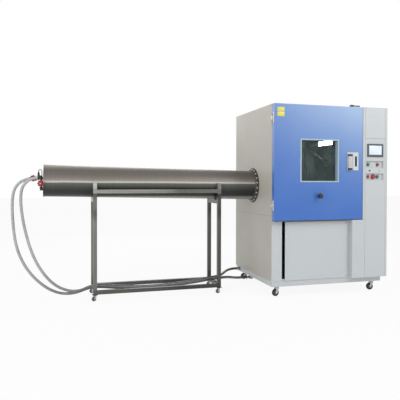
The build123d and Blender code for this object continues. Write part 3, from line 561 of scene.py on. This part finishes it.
def hose_plastic(name, colour):
    """Grey clear plastic with painted shade in the grooves beside its spiral rib and a painted highlight on
    the rib, from the piece's own map, and painted shade that deepens along the run towards the cabinet.
    """
    tree, shader = new_finish(name, colour, 0.32)
    shader.inputs["Coat Weight"].default_value = 0.2
    uv = tree.nodes.new("ShaderNodeUVMap")
    uv.uv_map = "along"
    spot = split(tree, uv.outputs["UV"])
    turn = maths(tree, "ADD", spot["X"], spot["Y"])
    wave = maths(tree, "SINE", maths(tree, "MULTIPLY", turn, 2 * math.pi))
    # Painted shade in the grooves and a painted highlight on the rib.
    rib = scaled(tree, wave, 0.5, 0.5)
    shade = ramp_node(tree, rib, [(0.10, tone(colour, 0.62)), (0.55, colour), (0.95, tone(colour, 1.25))])
    dirt = noise_node(tree, place_nodes(tree), 6.0, 4)
    grime = ramp_node(tree, dirt, [(0.35, (0.80, 0.79, 0.77)), (0.6, (1, 1, 1))])
    shade = blended(tree, 1.0, shade, grime, "MULTIPLY")
    # Painted shade: the hose darkens from about a third of its run onwards, towards the cabinet.
    run = maths(tree, "DIVIDE", spot["X"], WHOLE_RUN_TURNS)
    painted_shade_along_run = ramp_node(tree, run, [
        (0.28, (1, 1, 1)), (0.38, (0.62, 0.63, 0.64)), (0.47, (0.24, 0.24, 0.235)),
        (1.0, (0.15, 0.15, 0.15))])
    tree.links.new(blended(tree, 1.0, shade, painted_shade_along_run, "MULTIPLY"), shader.inputs["Base Color"])


class CHAMBER_OT_finishes(bpy.types.Operator):
    """Make every finish and give the model's own nodes theirs"""
    bl_idname = "chamber.finishes"
    bl_label = "Finishes"

    def execute(self, context):
        colours = context.scene.chamber_colours
        steel = tuple(colours.steel)
        powder_paint("front_paint", tuple(colours.front), 0.40, 0.02)
        # Painted shade in part: the sides, back and roof take a darker copy of the front's paint.
        powder_paint("shaded_side_paint", tuple(colours.side), 0.45, 0.035)
        powder_paint("roof_paint", tuple(colours.side), 0.45, 0.035, (0.03, 0.032, 0.035))
        door_paint("door_paint", tuple(colours.door_in_painted_shade), tuple(colours.door_in_painted_light))
        brushed_steel("steel_upright", steel, (160, 160, 3))
        brushed_steel("steel_across", steel, (3, 160, 160))
        wet_steel("steel_liner", (0.34, 0.41, 0.40))
        brushed_steel("steel_bright", (0.62, 0.62, 0.61), (40, 40, 40), 0.25, 0.7)
        brushed_steel("steel_dark", (0.085, 0.08, 0.07), (30, 30, 30), 0.45, 0.6)
        brushed_steel("zinc", (0.52, 0.53, 0.54), (30, 30, 30), 0.38, 0.6, 0.12)
        tube_steel("tube_steel", tuple(colours.tube_upper_reflection), tuple(colours.tube_lower_reflection))
        # Painted reflections and highlights up the legs: a dark band, then bright ones near the top.
        leg_painted_reflections = [
            (0.05, 0.55), (0.085, 0.5), (0.12, 0.9), (0.45, 0.95), (0.62, 1.1), (0.70, 0.5), (0.74, 0.8),
            (0.80, 0.9), (0.852, 0.35), (0.866, 1.9), (0.886, 1.6), (0.90, 2.4), (0.95, 2.8)]
        stand_steel("steel_legs", (0.174, 0.171, 0.156), leg_painted_reflections,
                    [(0.10, 1.25), (0.30, 1.05), (0.46, 0.9), (0.56, 0.5), (0.78, 0.55)])
        moulded("black_plastic", (0.018, 0.018, 0.02), 0.35)
        moulded("slate_plastic", (0.085, 0.10, 0.125), 0.42)
        moulded("grey_plastic", (0.65, 0.69, 0.715), 0.38)
        moulded("red_plastic", tuple(colours.red), 0.25, 500, 0.15, 0.4)
        moulded("green_plastic", tuple(colours.green), 0.25, 500, 0.15, 0.4)
        moulded("rubber_black", (0.012, 0.012, 0.013), 0.6, 300, 0.2)
        moulded("rubber_grey", (0.16, 0.16, 0.165), 0.6, 300, 0.15)
        moulded("label_film", tuple(colours.label), 0.35, 300, 0.06, 0.3)
        clear_glass("window_glass")
        glowing("lamp_glass", (0.90, 0.95, 0.95), 20.0)
        glowing("screen_glass", (0.80, 0.87, 0.95), 0.12)
        moulded("lamp_box", (0.50, 0.55, 0.58), 0.4, 300, 0.12)
        moulded("trim_plastic", (0.42, 0.54, 0.64), 0.35, 500, 0.05)
        hose_plastic("hose_plastic", tuple(colours.hose))
        finishes = {
            "front_paint": ("column_cover", "control_panel", "lower_access_panel", "plinth_frame",
                            "door_surround"),
            "shaded_side_paint": ("left_panels", "right_panel", "back_panel", "hinge_leaves"),
            "roof_paint": ("roof_panel",),
            "door_paint": ("door_shell",),
            "steel_upright": ("door_inner_skin", "water_tank"),
            "steel_liner": ("chamber_liner",),
            "steel_across": ("turntable", "swing_pipe", "pump_set"),
            "steel_bright": ("door_hinges", "latch_bolt", "drive_motors", "handle_lever"),
            "steel_dark": ("tube_flange", "nozzle_plate"),
            "steel_legs": ("stand_frame",),
            "zinc": ("body_frame", "fasteners"),
            "rubber_grey": ("door_gasket",),
            "rubber_black": ("wiper_blade",),
            "window_glass": ("window_glass",),
            "grey_plastic": ("handle_tray",),
            "trim_plastic": ("window_trim",),
            "slate_plastic": ("touch_screen",),
            "black_plastic": ("valve_set", "wiper_knob"),
            "red_plastic": ("upper_handwheel", "lower_handwheel", "stop_button", "pump_off_button",
                            "emergency_stop"),
            "green_plastic": ("start_button", "lamp_button"),
            "hose_plastic": ("outer_hose", "inner_hose"),
        }
        for finish, nodes in finishes.items():
            for node in nodes:
                dress(node, finish)
        for name in frame["nodes"]:
            if name.endswith("_fork"):
                dress(name, "zinc")
            if name.endswith("_wheel"):
                dress(name, "rubber_black" if name.startswith("cab_") else "rubber_grey")
        return {"FINISHED"}


def route_points(name, route):
    """The route as a smooth line: its own spline, read back as a mesh."""
    curve = bpy.data.curves.new(name + "_route", "CURVE")
    curve.dimensions = "3D"
    curve.resolution_u = 40
    spline = curve.splines.new("NURBS")
    spline.points.add(len(route) - 1)
    for point, place in zip(spline.points, route):
        point.co = (*at(*place), 1)
    spline.order_u = 3
    spline.use_endpoint_u = True
    holder = bpy.data.objects.new(name + "_route", curve)
    bpy.context.scene.collection.objects.link(holder)
    bpy.context.view_layer.update()
    mesh = bpy.data.meshes.new_from_object(holder)
    points = [vert.co.copy() for vert in mesh.vertices]
    bpy.data.meshes.remove(mesh)
    bpy.data.objects.remove(holder)
    bpy.data.curves.remove(curve)
    return points


def even_points(points, step):
    """Points one step apart along a line."""
    even, travelled = [points[0]], 0.0
    for here, there in zip(points, points[1:]):
        run = (there - here).length
        while travelled + run >= step * len(even):
            part = (step * len(even) - travelled) / run
            even.append(here.lerp(there, part))
        travelled += run
    if (points[-1] - even[-1]).length > step / 3:
        even.append(points[-1])
    return even, travelled


def ribbed_hose(name, route, length, sizes):
    """A hose as a mesh tube with one spiral rib from end to end."""
    path, travelled = even_points(route_points(name, route), sizes.hose_pitch / RIB_STEPS)
    bm = bmesh.new()
    along = bm.loops.layers.uv.new("along")
    radius = sizes.hose_diameter / 2
    side = (path[1] - path[0]).cross(Z_AXIS).normalized()
    rings = []
    for index, here in enumerate(path):
        before, after = path[max(index - 1, 0)], path[min(index + 1, len(path) - 1)]
        way = (after - before).normalized()
        side = (side - way * side.dot(way)).normalized()
        up = way.cross(side)
        verts = []
        for step in range(ROUND_HOSE):
            angle = 2 * math.pi * step / ROUND_HOSE
            wave = math.cos(2 * math.pi * (index / RIB_STEPS + step / ROUND_HOSE))
            reach = radius * (1 - RIB_DEPTH * (0.5 - 0.5 * wave))
            verts.append(bm.verts.new(here + (side * math.cos(angle) + up * math.sin(angle)) * reach))
        rings.append(verts)
    for index, (first, second) in enumerate(zip(rings, rings[1:])):
        for step in range(ROUND_HOSE):
            following = (step + 1) % ROUND_HOSE
            face = bm.faces.new((first[step], first[following], second[following], second[step]))
            face.smooth = True
            corners = ((index, step), (index, step + 1), (index + 1, step + 1), (index + 1, step))
            for loop, (row, column) in zip(face.loops, corners):
                loop[along].uv = (row / RIB_STEPS, column / ROUND_HOSE)
    bm.faces.new(reversed(rings[0]))
    bm.faces.new(rings[-1])
    bmesh.ops.recalc_face_normals(bm, faces=bm.faces)
    mesh = bpy.data.meshes.new(name + "_ribbed")
    bm.to_mesh(mesh)
    bm.free()
    mesh.materials.append(finish_named("hose_plastic"))
    made = bpy.data.objects.new(name + "_ribbed", mesh)
    bpy.context.scene.collection.objects.link(made)
    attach(made, "cabinet")
    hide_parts(name)
    print(name, "spline length", round(travelled, 3), "of", length)


class CHAMBER_OT_hoses(bpy.types.Operator):
    """Lay the two supply hoses from the valves to the cabinet"""
    bl_idname = "chamber.hoses"
    bl_label = "Hoses"

    def execute(self, context):
        sizes = context.scene.chamber_sizes
        for name, (route, length) in HOSES.items():
            ribbed_hose(name, route, length, sizes)
        radius = sizes.hose_diameter / 2
        clips = []
        for route in (OUTER_ROUTE, INNER_ROUTE):
            for end, inward in ((route[0], route[1]), (route[-1], route[-2])):
                end, inward = at(*end), at(*inward)
                way = (inward - end).normalized()
                start = end + way * 0.008
                clips.append(ring(start, way, radius * 0.96, radius + 0.0016, 0.011, 0.0006, 32))
                side = way.cross(Y_AXIS).normalized()
                screw = start + way * 0.0055 + side * (radius + 0.004)
                clips.append(bar(screw - Y_AXIS * 0.008, screw + Y_AXIS * 0.010, 0.0042, 0.0008, 12))
        piece("hose_clips", clips, "steel_bright", "cabinet")
        return {"FINISHED"}


class CHAMBER_OT_jet_tube(bpy.types.Operator):
    """Roll the jet tube with its end bead, and bolt its flange"""
    bl_idname = "chamber.jet_tube"
    bl_label = "Jet tube"

    def execute(self, context):
        wall = 0.002
        inner = TUBE_R - wall
        bead = 0.0035
        start = tube_axis(0)
        profile = [
            (-0.062, inner), (-0.062, TUBE_R), (0.7, TUBE_R), (1.5, TUBE_R), (TUBE_L - 0.004, TUBE_R),
            (TUBE_L, TUBE_R), (TUBE_L, inner), (1.5, inner), (0.7, inner), (-0.062, inner)]
        piece("jet_tube_rolled", [turned(start, TUBE_WAY, profile, 160)], "tube_steel", "cabinet",
              ["jet_tube"])
        rim = [(TUBE_L - 0.012, TUBE_R), (TUBE_L - 0.010, TUBE_R + bead), (TUBE_L + 0.004, TUBE_R + bead),
               (TUBE_L + 0.006, TUBE_R), (TUBE_L + 0.006, inner - 0.003), (TUBE_L - 0.012, TUBE_R)]
        piece("tube_end_rim", [turned(start, TUBE_WAY, rim, 120)], "tube_steel", "cabinet")
        face_x = -0.010
        pitch = (FLANGE_R + TUBE_R) / 2
        heads, washers = [], []
        centre = at(face_x, TUBE_Y, TUBE_Z)
        for step in range(FLANGE_BOLTS):
            turn = 2 * math.pi * (step + 0.5) / FLANGE_BOLTS
            spot = centre + Vector((0, math.cos(turn), math.sin(turn))) * pitch
            washers.append(ring(spot, -X_AXIS, 0.002, 0.0115, 0.0016, 0.0003, 20))
            heads.append(hexagon(spot - X_AXIS * 0.0015, -X_AXIS, 0.016, 0.0075, 0.0012, turn * 3))
            heads.append(bar(spot - X_AXIS * 0.009, spot - X_AXIS * 0.016, 0.0045, 0.0008, 12))
        for x in (0.176, 0.860):
            for z in (BASE_Z + 0.028, 0.752):
                spot = at(x, BODY_Y - 0.004, z)
                heads.append(turned(spot, -Y_AXIS, [(0, 0.0075), (0.0012, 0.0072), (0.0032, 0.0045),
                                                   (0.0036, 0.0)], 20))
        piece("bolt_heads", heads, "steel_bright", "cabinet", ["fasteners"])
        piece("bolt_washers", washers, "zinc", "cabinet")
        wall_face = at(-0.0004, TUBE_Y, TUBE_Z)
        gasket = ring(wall_face, X_AXIS, TUBE_R + 0.001, FLANGE_R + 0.003, 0.0016, 0.0005, 96)
        piece("flange_gasket", [gasket], "rubber_black", "cabinet")
        collar = [(0.008, TUBE_R - 0.001), (0.010, TUBE_R + 0.006), (0.014, TUBE_R + 0.0085),
                  (0.020, TUBE_R + 0.003), (0.030, TUBE_R + 0.0005), (0.030, TUBE_R - 0.001),
                  (0.008, TUBE_R - 0.001)]
        piece("tube_weld", [turned(start, TUBE_WAY, collar, 120)], "steel_dark", "cabinet")
        return {"FINISHED"}


class CHAMBER_OT_handwheels(bpy.types.Operator):
    """Shape the two lobed handwheels and the nuts of the valves"""
    bl_idname = "chamber.handwheels"
    bl_label = "Handwheels and valves"

    def execute(self, context):
        steps = context.scene.chamber_sizes.round_steps
        wheels = {
            "upper_handwheel": (-2.352, 0.550, 1.228, 0.034, 0.578),
            "lower_handwheel": (-2.276, 0.392, 1.176, 0.032, 0.500),
        }
        for name, (x, y, z, radius, root_y) in wheels.items():
            centre = at(x, y, z)
            parts = [bar(at(x, root_y, z), at(x, y, z), 0.005, 0.0006, steps)]
            rim_r = radius - 0.009
            for step in range(8):
                turn = 2 * math.pi * step / 8
                lobe = centre + Vector((math.cos(turn), 0, math.sin(turn))) * rim_r
                parts.append(turned(lobe, Y_AXIS, disc_profile(0.010, 0.009, 0.003), 16))
            parts.append(ring(centre, Y_AXIS, radius - 0.015, radius - 0.006, 0.010, 0.002, steps))
            parts.append(turned(centre - Y_AXIS * 0.003, Y_AXIS, disc_profile(0.015, 0.010, 0.002), steps))
            for step in range(4):
                turn = math.pi * step / 2
                out = Vector((math.cos(turn), 0, math.sin(turn)))
                middle = centre + Y_AXIS * 0.005
                parts.append(bar(middle + out * 0.006, middle + out * (radius - 0.013), 0.0035, 0.0005, 12))
            piece(name + "_lobed", parts, "red_plastic", name + "_stem", [name])
            nut = hexagon(centre - Y_AXIS * 0.006, Y_AXIS, 0.010, 0.0045)
            piece(name + "_nut", [nut], "steel_bright", name + "_stem")
        nuts = []
        for x, y, z, way, across in (
            (-2.300, 0.600, 1.228, -X_AXIS, 0.036), (-2.318, 0.600, 1.228, -X_AXIS, 0.040),
            (-2.352, 0.572, 1.228, Y_AXIS, 0.034), (-2.276, 0.488, 1.176, Y_AXIS, 0.032),
            (-2.276, 0.520, 1.148, Z_AXIS, 0.036), (-2.276, 0.520, 1.196, Z_AXIS, 0.036),
            (-2.276, 0.520, 1.128, Z_AXIS, 0.030), (-2.276, 0.520, 1.222, Z_AXIS, 0.030),
        ):
            nuts.append(hexagon(at(x, y, z), way, across, 0.012, 0.001))
        piece("valve_nuts", nuts, "black_plastic", "cabinet")
        return {"FINISHED"}


class CHAMBER_OT_castors(bpy.types.Operator):
    """Fit tyres, hubs, axle nuts and the castors' bolts"""
    bl_idname = "chamber.castors"
    bl_label = "Castors"

    def execute(self, context):
        for joint in frame["joints"]:
            if not joint["name"].endswith("_wheel_roll"):
                continue
            name = joint["name"][:-len("_wheel_roll")]
            heavy = name.startswith("cab_")
            radius, width = (0.0375, 0.030) if heavy else (0.0235, 0.020)
            axle = Vector(joint["axis"])
            centre = Vector(joint["pos_m"])
            half, axle_r = width / 2, radius * 0.13
            start = centre - axle * half
            crown = radius * 0.04
            shoulder = radius - crown * 0.2
            tyre = [(width * 0.06, radius * 0.66), (0.0, radius * 0.84), (width * 0.08, radius * 0.955),
                    (width * 0.22, shoulder), (half, radius), (width * 0.78, shoulder),
                    (width * 0.92, radius * 0.955), (width, radius * 0.84), (width * 0.94, radius * 0.66),
                    (width * 0.06, radius * 0.66)]
            rubber = "rubber_black" if heavy else "rubber_grey"
            piece(name + "_tyre", [turned(start, axle, tyre, 48)], rubber, name + "_roller",
                  [name + "_wheel"])
            bore = axle_r + 0.00005
            hub = [(0.0, bore), (0.0, radius * 0.30), (width * 0.16, radius * 0.34),
                   (width * 0.20, radius * 0.60), (width * 0.10, radius * 0.68),
                   (width * 0.90, radius * 0.68), (width * 0.80, radius * 0.60),
                   (width * 0.84, radius * 0.34), (width, radius * 0.30), (width, bore), (0.0, bore)]
            piece(name + "_hub", [turned(start, axle, hub, 40)], "slate_plastic", name + "_roller")
            outside = half + 0.0015 + (0.003 if heavy else 0.0022)
            bolts = []
            for way in (-1, 1):
                spot = centre + axle * way * outside
                bolts.append(hexagon(spot, axle * way, radius * 0.36, 0.0045))
            piece(name + "_axle_nuts", bolts, "steel_bright", name + "_swivel")
        return {"FINISHED"}


class CHAMBER_OT_controls(bpy.types.Operator):
    """Fit the screen's face, the buttons' rings, the sounder and the lock"""
    bl_idname = "chamber.controls"
    bl_label = "Controls"

    def execute(self, context):
        lower_left = at(SCREEN_X[0] + 0.0225, -0.0052, SCREEN_Z[0] + 0.0245)
        upper_right = at(SCREEN_X[1] - 0.0205, -0.0045, SCREEN_Z[1] - 0.0185)
        piece("screen_face", [block(lower_left, upper_right, 0.0002)], "screen_glass", "cabinet")
        rims = []
        for (x, z), bore in [(spot, 0.0142) for spot in BUTTONS_AT] + [(EMERGENCY_STOP_AT, 0.0212)]:
            rim = [(0, bore), (0, bore + 0.0033), (0.0035, bore + 0.0033), (0.0048, bore + 0.0018),
                   (0.0048, bore), (0, bore)]
            rims.append(turned(at(x, 0.0179, z), -Y_AXIS, rim, 40))
        piece("button_rims", rims, "black_plastic", "cabinet")
        sounder = bar(at(SOUNDER_X, 0.0, SOUNDER_Z), at(SOUNDER_X, -0.0046, SOUNDER_Z), 0.0085, 0.0012, 32)
        piece("sounder_cap", [sounder], "black_plastic", "cabinet")
        lock = bar(at(LOCK_X, 0.0, SOUNDER_Z), at(LOCK_X, -0.0040, SOUNDER_Z), 0.0075, 0.0012, 32)
        keyway = block(at(LOCK_X - 0.0008, -0.0046, SOUNDER_Z - 0.004),
                       at(LOCK_X + 0.0008, -0.0030, SOUNDER_Z + 0.004), 0.0003)
        piece("panel_lock", [lock, keyway], "zinc", "cabinet")
        return {"FINISHED"}


class CHAMBER_OT_door_fittings(bpy.types.Operator):
    """Fit the handle's ends, the labels, the wiper's knob and the door's foot seal, a black strip that also
    stands as painted shade under the door
    """
    bl_idname = "chamber.door_fittings"
    bl_label = "Door fittings"

    def execute(self, context):
        steps = context.scene.chamber_sizes.round_steps
        caps = []
        for low, high in LEVER_ENDS_Z:
            near, far = at(LEVER_X[0] - 0.0016, -0.0246, low), at(LEVER_X[1] + 0.0014, -0.0052, high)
            caps.append(block(near, far, 0.0016))
        piece("handle_ends", caps, "black_plastic", "door")
        left, right = (TRAY_EDGE_X - inset for inset in SLOT_FROM_EDGE)
        pocket = [block(at(left, 0.0186, 1.3625), at(right, 0.0199, 1.4695), 0.0002),
                  block(at(right - 0.0008, -0.0060, 1.3622), at(right + 0.0002, 0.0186, 1.4698), 0.0002)]
        piece("slot_lining", pocket, "black_plastic", "door")
        ridge = [block(at(x, -0.0214, 1.352), at(x + 0.004, -0.0198, 1.464), 0.0007)
                 for x in (LEVER_X[0] + 0.012, LEVER_X[0] + 0.024)]
        piece("lever_ridges", ridge, "steel_bright", "door_lever")
        labels = [block(at(0.033, -0.0006, z), at(0.111, 0.0001, z + LABEL_HEIGHT), 0.0002)
                  for z in LABELS_Z]
        piece("blank_labels", labels, "label_film", "door")
        # A black strip under the door's foot: a seal, and also a dark sheet standing for the shade in the gap
        # there.
        foot = [block(at(0.002, 0.004, 0.7915), at(DOOR_W - 0.002, 0.048, 0.7968), 0.001)]
        piece("door_foot_seal_and_shade", foot, "rubber_black", "door")
        x, z = WIPER_X, WIPER_Z
        knob = [bar(at(x, -0.008, z), at(x, -0.030, z), 0.013, 0.001, steps),
                turned(at(x, -0.030, z), -Y_AXIS, disc_profile(0.028, 0.022, 0.005), steps),
                bar(at(x, -0.004, z), at(x, 0.064, z), 0.006, 0.0005, 24)]
        for step in range(5):
            turn = math.radians(90 + 72 * step)
            lobe = at(x + 0.020 * math.cos(turn), -0.032, z + 0.020 * math.sin(turn))
            knob.append(turned(lobe, -Y_AXIS, disc_profile(0.024, 0.010, 0.004), 20))
        piece("wiper_knob_lobed", knob, "black_plastic", "wiper", ["wiper_knob"])
        return {"FINISHED"}


class CHAMBER_OT_test_space(bpy.types.Operator):
    """Fit the lamp, the drive's ring, the drain and the turntable's rings"""
    bl_idname = "chamber.test_space"
    bl_label = "Test space"

    def execute(self, context):
        wall = LINER_RIGHT_X
        # A long lamp with a lit half, its ballast below the lit end, and its unlit half as a pale tray
        case = [block(at(wall - 0.022, 0.790, 1.626), at(wall, 1.036, 1.692), 0.003)]
        piece("lamp_case", case, "lamp_box", "cabinet")
        glass = [block(at(wall - 0.0245, 0.470, 1.634), at(wall - 0.0225, 0.780, 1.684), 0.001)]
        frame_bars = [block(at(wall - 0.0225, 0.466, 1.628), at(wall, 0.784, 1.690), 0.003)]
        for step in range(1, 6):
            y = 0.470 + step * 0.0517
            near, far = at(wall - 0.0262, y - 0.003, 1.630), at(wall - 0.0238, y + 0.003, 1.688)
            frame_bars.append(block(near, far, 0.0006))
        piece("lamp_glass", glass, "lamp_glass", "cabinet")
        piece("lamp_frame", frame_bars, "steel_upright", "cabinet")
        lows = [1.536 + 0.023 * step for step in range(4)]
        box = [block(at(wall - 0.020, 0.480, z), at(wall, 0.590, z + 0.021), 0.003) for z in lows]
        piece("lamp_box", box, "lamp_box", "cabinet")
        face_x, pitch = wall - 0.0115, 0.0695
        disc = ring(at(face_x, DRIVE_Y, DRIVE_Z), X_AXIS, 0.060, 0.079, 0.004, 0.001, 48)
        piece("drive_ring", [disc], "steel_bright", "cabinet")
        bolts = []
        for step in range(6):
            turn = math.pi * step / 3
            spot = at(face_x, DRIVE_Y + pitch * math.cos(turn), DRIVE_Z + pitch * math.sin(turn))
            bolts.append(hexagon(spot, -X_AXIS, 0.009, 0.004))
        piece("drive_ring_bolts", bolts, "zinc", "cabinet")
        drain = [ring(at(DRAIN_X, DRAIN_Y, 0.862), Z_AXIS, 0.030, 0.044, 0.003, 0.001, 40)]
        for step in range(-2, 3):
            x = DRAIN_X + step * 0.011
            reach = math.sqrt(0.031 ** 2 - (step * 0.011) ** 2)
            drain.append(block(at(x - 0.002, DRAIN_Y - reach, 0.8622),
                               at(x + 0.002, DRAIN_Y + reach, 0.8645), 0.0004))
        piece("floor_drain", drain, "steel_bright", "cabinet")
        rings = [ring(at(*TABLE_AT), Z_AXIS, r, r + 0.0025, 0.0012, 0.0004, 72)
                 for r in (0.060, 0.120, 0.180, 0.236)]
        piece("table_rings", rings, "steel_dark", "table")
        return {"FINISHED"}


class CHAMBER_OT_cabinet_details(bpy.types.Operator):
    """Fit the back's screws, louvres, gland and collars, the stand's leg caps and the side's seam"""
    bl_idname = "chamber.cabinet_details"
    bl_label = "Cabinet details"

    def execute(self, context):
        screws = []
        back = CABINET_D
        for x in (0.03, 0.45, 0.90, CABINET_W - 0.03):
            for z in (0.20, 0.80, 1.40, 1.965):
                screws.append(turned(at(x, back, z), Y_AXIS, [(0, 0.007), (0.001, 0.0068), (0.003, 0.004),
                                                              (0.0034, 0)], 20))
        piece("back_screws", screws, "steel_bright", "cabinet")
        slats = []
        for step in range(8):
            low = 0.420 + 0.030 * step
            near, far = at(1.028, back + 0.0005, low - 0.001), at(1.292, back + 0.0075, low + 0.011)
            slats.append(block(near, far, 0.003))
        piece("louvres", slats, "shaded_side_paint", "cabinet")
        gland = [ring(at(1.180, back, 0.300), Y_AXIS, 0.0162, 0.022, 0.008, 0.001, 32),
                 hexagon(at(1.180, back + 0.012, 0.300), Y_AXIS, 0.036, 0.0095)]
        piece("cable_gland", gland, "black_plastic", "cabinet")
        collars = [ring(at(0.300, back, 0.300), Y_AXIS, 0.0132, 0.022, 0.005, 0.001, 32),
                   ring(at(0.420, back, 0.240), Y_AXIS, 0.0202, 0.030, 0.005, 0.001, 32)]
        piece("spigot_collars", collars, "steel_bright", "cabinet")
        reach = LEG_HALF + 0.0012
        caps = [block(at(x - reach, y - reach, 1.1802), at(x + reach, y + reach, 1.1852), 0.0015)
                for x in STAND_X for y in STAND_Y]
        piece("leg_caps", caps, "steel_bright", "cabinet")
        seam = block(at(-0.0008, BODY_Y + 0.004, 0.840), at(0.0002, CABINET_D - 0.004, 0.842), 0.0002)
        piece("side_seam", [seam], "slate_plastic", "cabinet")
        return {"FINISHED"}


def shown_white(tree):
    """1 where the camera, a reflection or the glass looks at the surface, and 0 where it gives light."""
    paths = tree.nodes.new("ShaderNodeLightPath")
    seen = maths(tree, "MAXIMUM", paths.outputs["Is Camera Ray"], paths.outputs["Is Glossy Ray"])
    seen = maths(tree, "MAXIMUM", seen, paths.outputs["Is Transmission Ray"])
    return seen


class CHAMBER_OT_stage(bpy.types.Operator):
    """Set the floor, the lamps, the world and the camera"""
    bl_idname = "chamber.stage"
    bl_label = "Stage"

    def execute(self, context):
        scene = context.scene
        scene.view_settings.view_transform = "Standard"
        camera = bpy.data.cameras.new("camera")
        camera.sensor_width = 36
        camera.lens = CAMERA_LENS
        camera.shift_x, camera.shift_y = CAMERA_SHIFT
        camera.clip_end = 100
        eye = bpy.data.objects.new("camera", camera)
        scene.collection.objects.link(eye)
        yaw, pitch, roll = (math.radians(angle) for angle in CAMERA_TURN)
        turn = Matrix.Rotation(yaw, 4, "Z") @ Matrix.Rotation(pitch, 4, "X") @ Matrix.Rotation(roll, 4, "Z")
        eye.matrix_world = Matrix.Translation(at(*CAMERA_AT)) @ turn
        scene.camera = eye
        world = scene.world or bpy.data.worlds.new("world")
        scene.world = world
        world.use_nodes = True
        tree = world.node_tree
        tree.nodes.clear()
        output = tree.nodes.new("ShaderNodeOutputWorld")
        plain = tree.nodes.new("ShaderNodeBackground")
        plain.inputs["Color"].default_value = (0.97, 0.99, 1.0, 1)
        plain.inputs["Strength"].default_value = 0.60
        white = tree.nodes.new("ShaderNodeBackground")
        white.inputs["Strength"].default_value = 1.0
        white.inputs["Color"].default_value = (1, 1, 1, 1)
        mix = tree.nodes.new("ShaderNodeMixShader")
        tree.links.new(shown_white(tree), mix.inputs["Fac"])
        tree.links.new(plain.outputs["Background"], mix.inputs[1])
        tree.links.new(white.outputs["Background"], mix.inputs[2])
        tree.links.new(mix.outputs["Shader"], output.inputs["Surface"])
        self.floor(scene)
        self.lamps(scene)
        return {"FINISHED"}

    def floor(self, scene):
        material = bpy.data.materials.new("floor")
        material.use_nodes = True
        tree = material.node_tree
        shader = tree.nodes["Principled BSDF"]
        shader.inputs["Base Color"].default_value = (0.86, 0.86, 0.86, 1)
        shader.inputs["Roughness"].default_value = 0.9
        shader.inputs["Specular IOR Level"].default_value = 0.0
        glow = tree.nodes.new("ShaderNodeEmission")
        mix = tree.nodes.new("ShaderNodeMixShader")
        seen = maths(tree, "MULTIPLY", shown_white(tree), 0.91)
        tree.links.new(seen, mix.inputs["Fac"])
        tree.links.new(shader.outputs["BSDF"], mix.inputs[1])
        tree.links.new(glow.outputs["Emission"], mix.inputs[2])
        tree.links.new(mix.outputs["Shader"], tree.nodes["Material Output"].inputs["Surface"])
        bm = bmesh.new()
        bmesh.ops.create_grid(bm, x_segments=1, y_segments=1, size=30)
        mesh = bpy.data.meshes.new("floor")
        bm.to_mesh(mesh)
        bm.free()
        mesh.materials.append(material)
        ground = bpy.data.objects.new("floor", mesh)
        ground.location.z = -0.0005
        scene.collection.objects.link(ground)

    def lamps(self, scene):
        for name, (place, target, size, power) in LAMPS.items():
            light = bpy.data.lights.new(name, "AREA")
            light.shape = "SQUARE"
            light.size = size
            light.energy = power
            lamp = bpy.data.objects.new(name, light)
            way = Vector(target) - Vector(place)
            lamp.matrix_world = Matrix.Translation(place) @ way.to_track_quat("-Z", "Y").to_matrix().to_4x4()
            scene.collection.objects.link(lamp)


OPERATORS = (
    CHAMBER_OT_stage, CHAMBER_OT_finishes, CHAMBER_OT_hoses, CHAMBER_OT_jet_tube, CHAMBER_OT_handwheels,
    CHAMBER_OT_castors, CHAMBER_OT_controls, CHAMBER_OT_door_fittings, CHAMBER_OT_test_space,
    CHAMBER_OT_cabinet_details,
)


class CHAMBER_PT_panel(bpy.types.Panel):
    bl_label = "Chamber"
    bl_idname = "CHAMBER_PT_panel"
    bl_space_type = "VIEW_3D"
    bl_region_type = "UI"
    bl_category = "Chamber"

    def draw(self, context):
        for group in (context.scene.chamber_sizes, context.scene.chamber_colours):
            column = self.layout.column()
            for name in group.__annotations__:
                column.prop(group, name)
        for operator in OPERATORS:
            self.layout.operator(operator.bl_idname)


CLASSES = (ChamberSizes, ChamberColours, *OPERATORS, CHAMBER_PT_panel)


def register():
    for group in CLASSES:
        bpy.utils.register_class(group)
    bpy.types.Scene.chamber_sizes = PointerProperty(type=ChamberSizes)
    bpy.types.Scene.chamber_colours = PointerProperty(type=ChamberColours)


def unregister():
    del bpy.types.Scene.chamber_colours
    del bpy.types.Scene.chamber_sizes
    for group in reversed(CLASSES):
        bpy.utils.unregister_class(group)


def main():
    register()
    for operator in OPERATORS:
        group, name = operator.bl_idname.split(".")
        getattr(getattr(bpy.ops, group), name)()


if __name__ == "__main__":
    main()
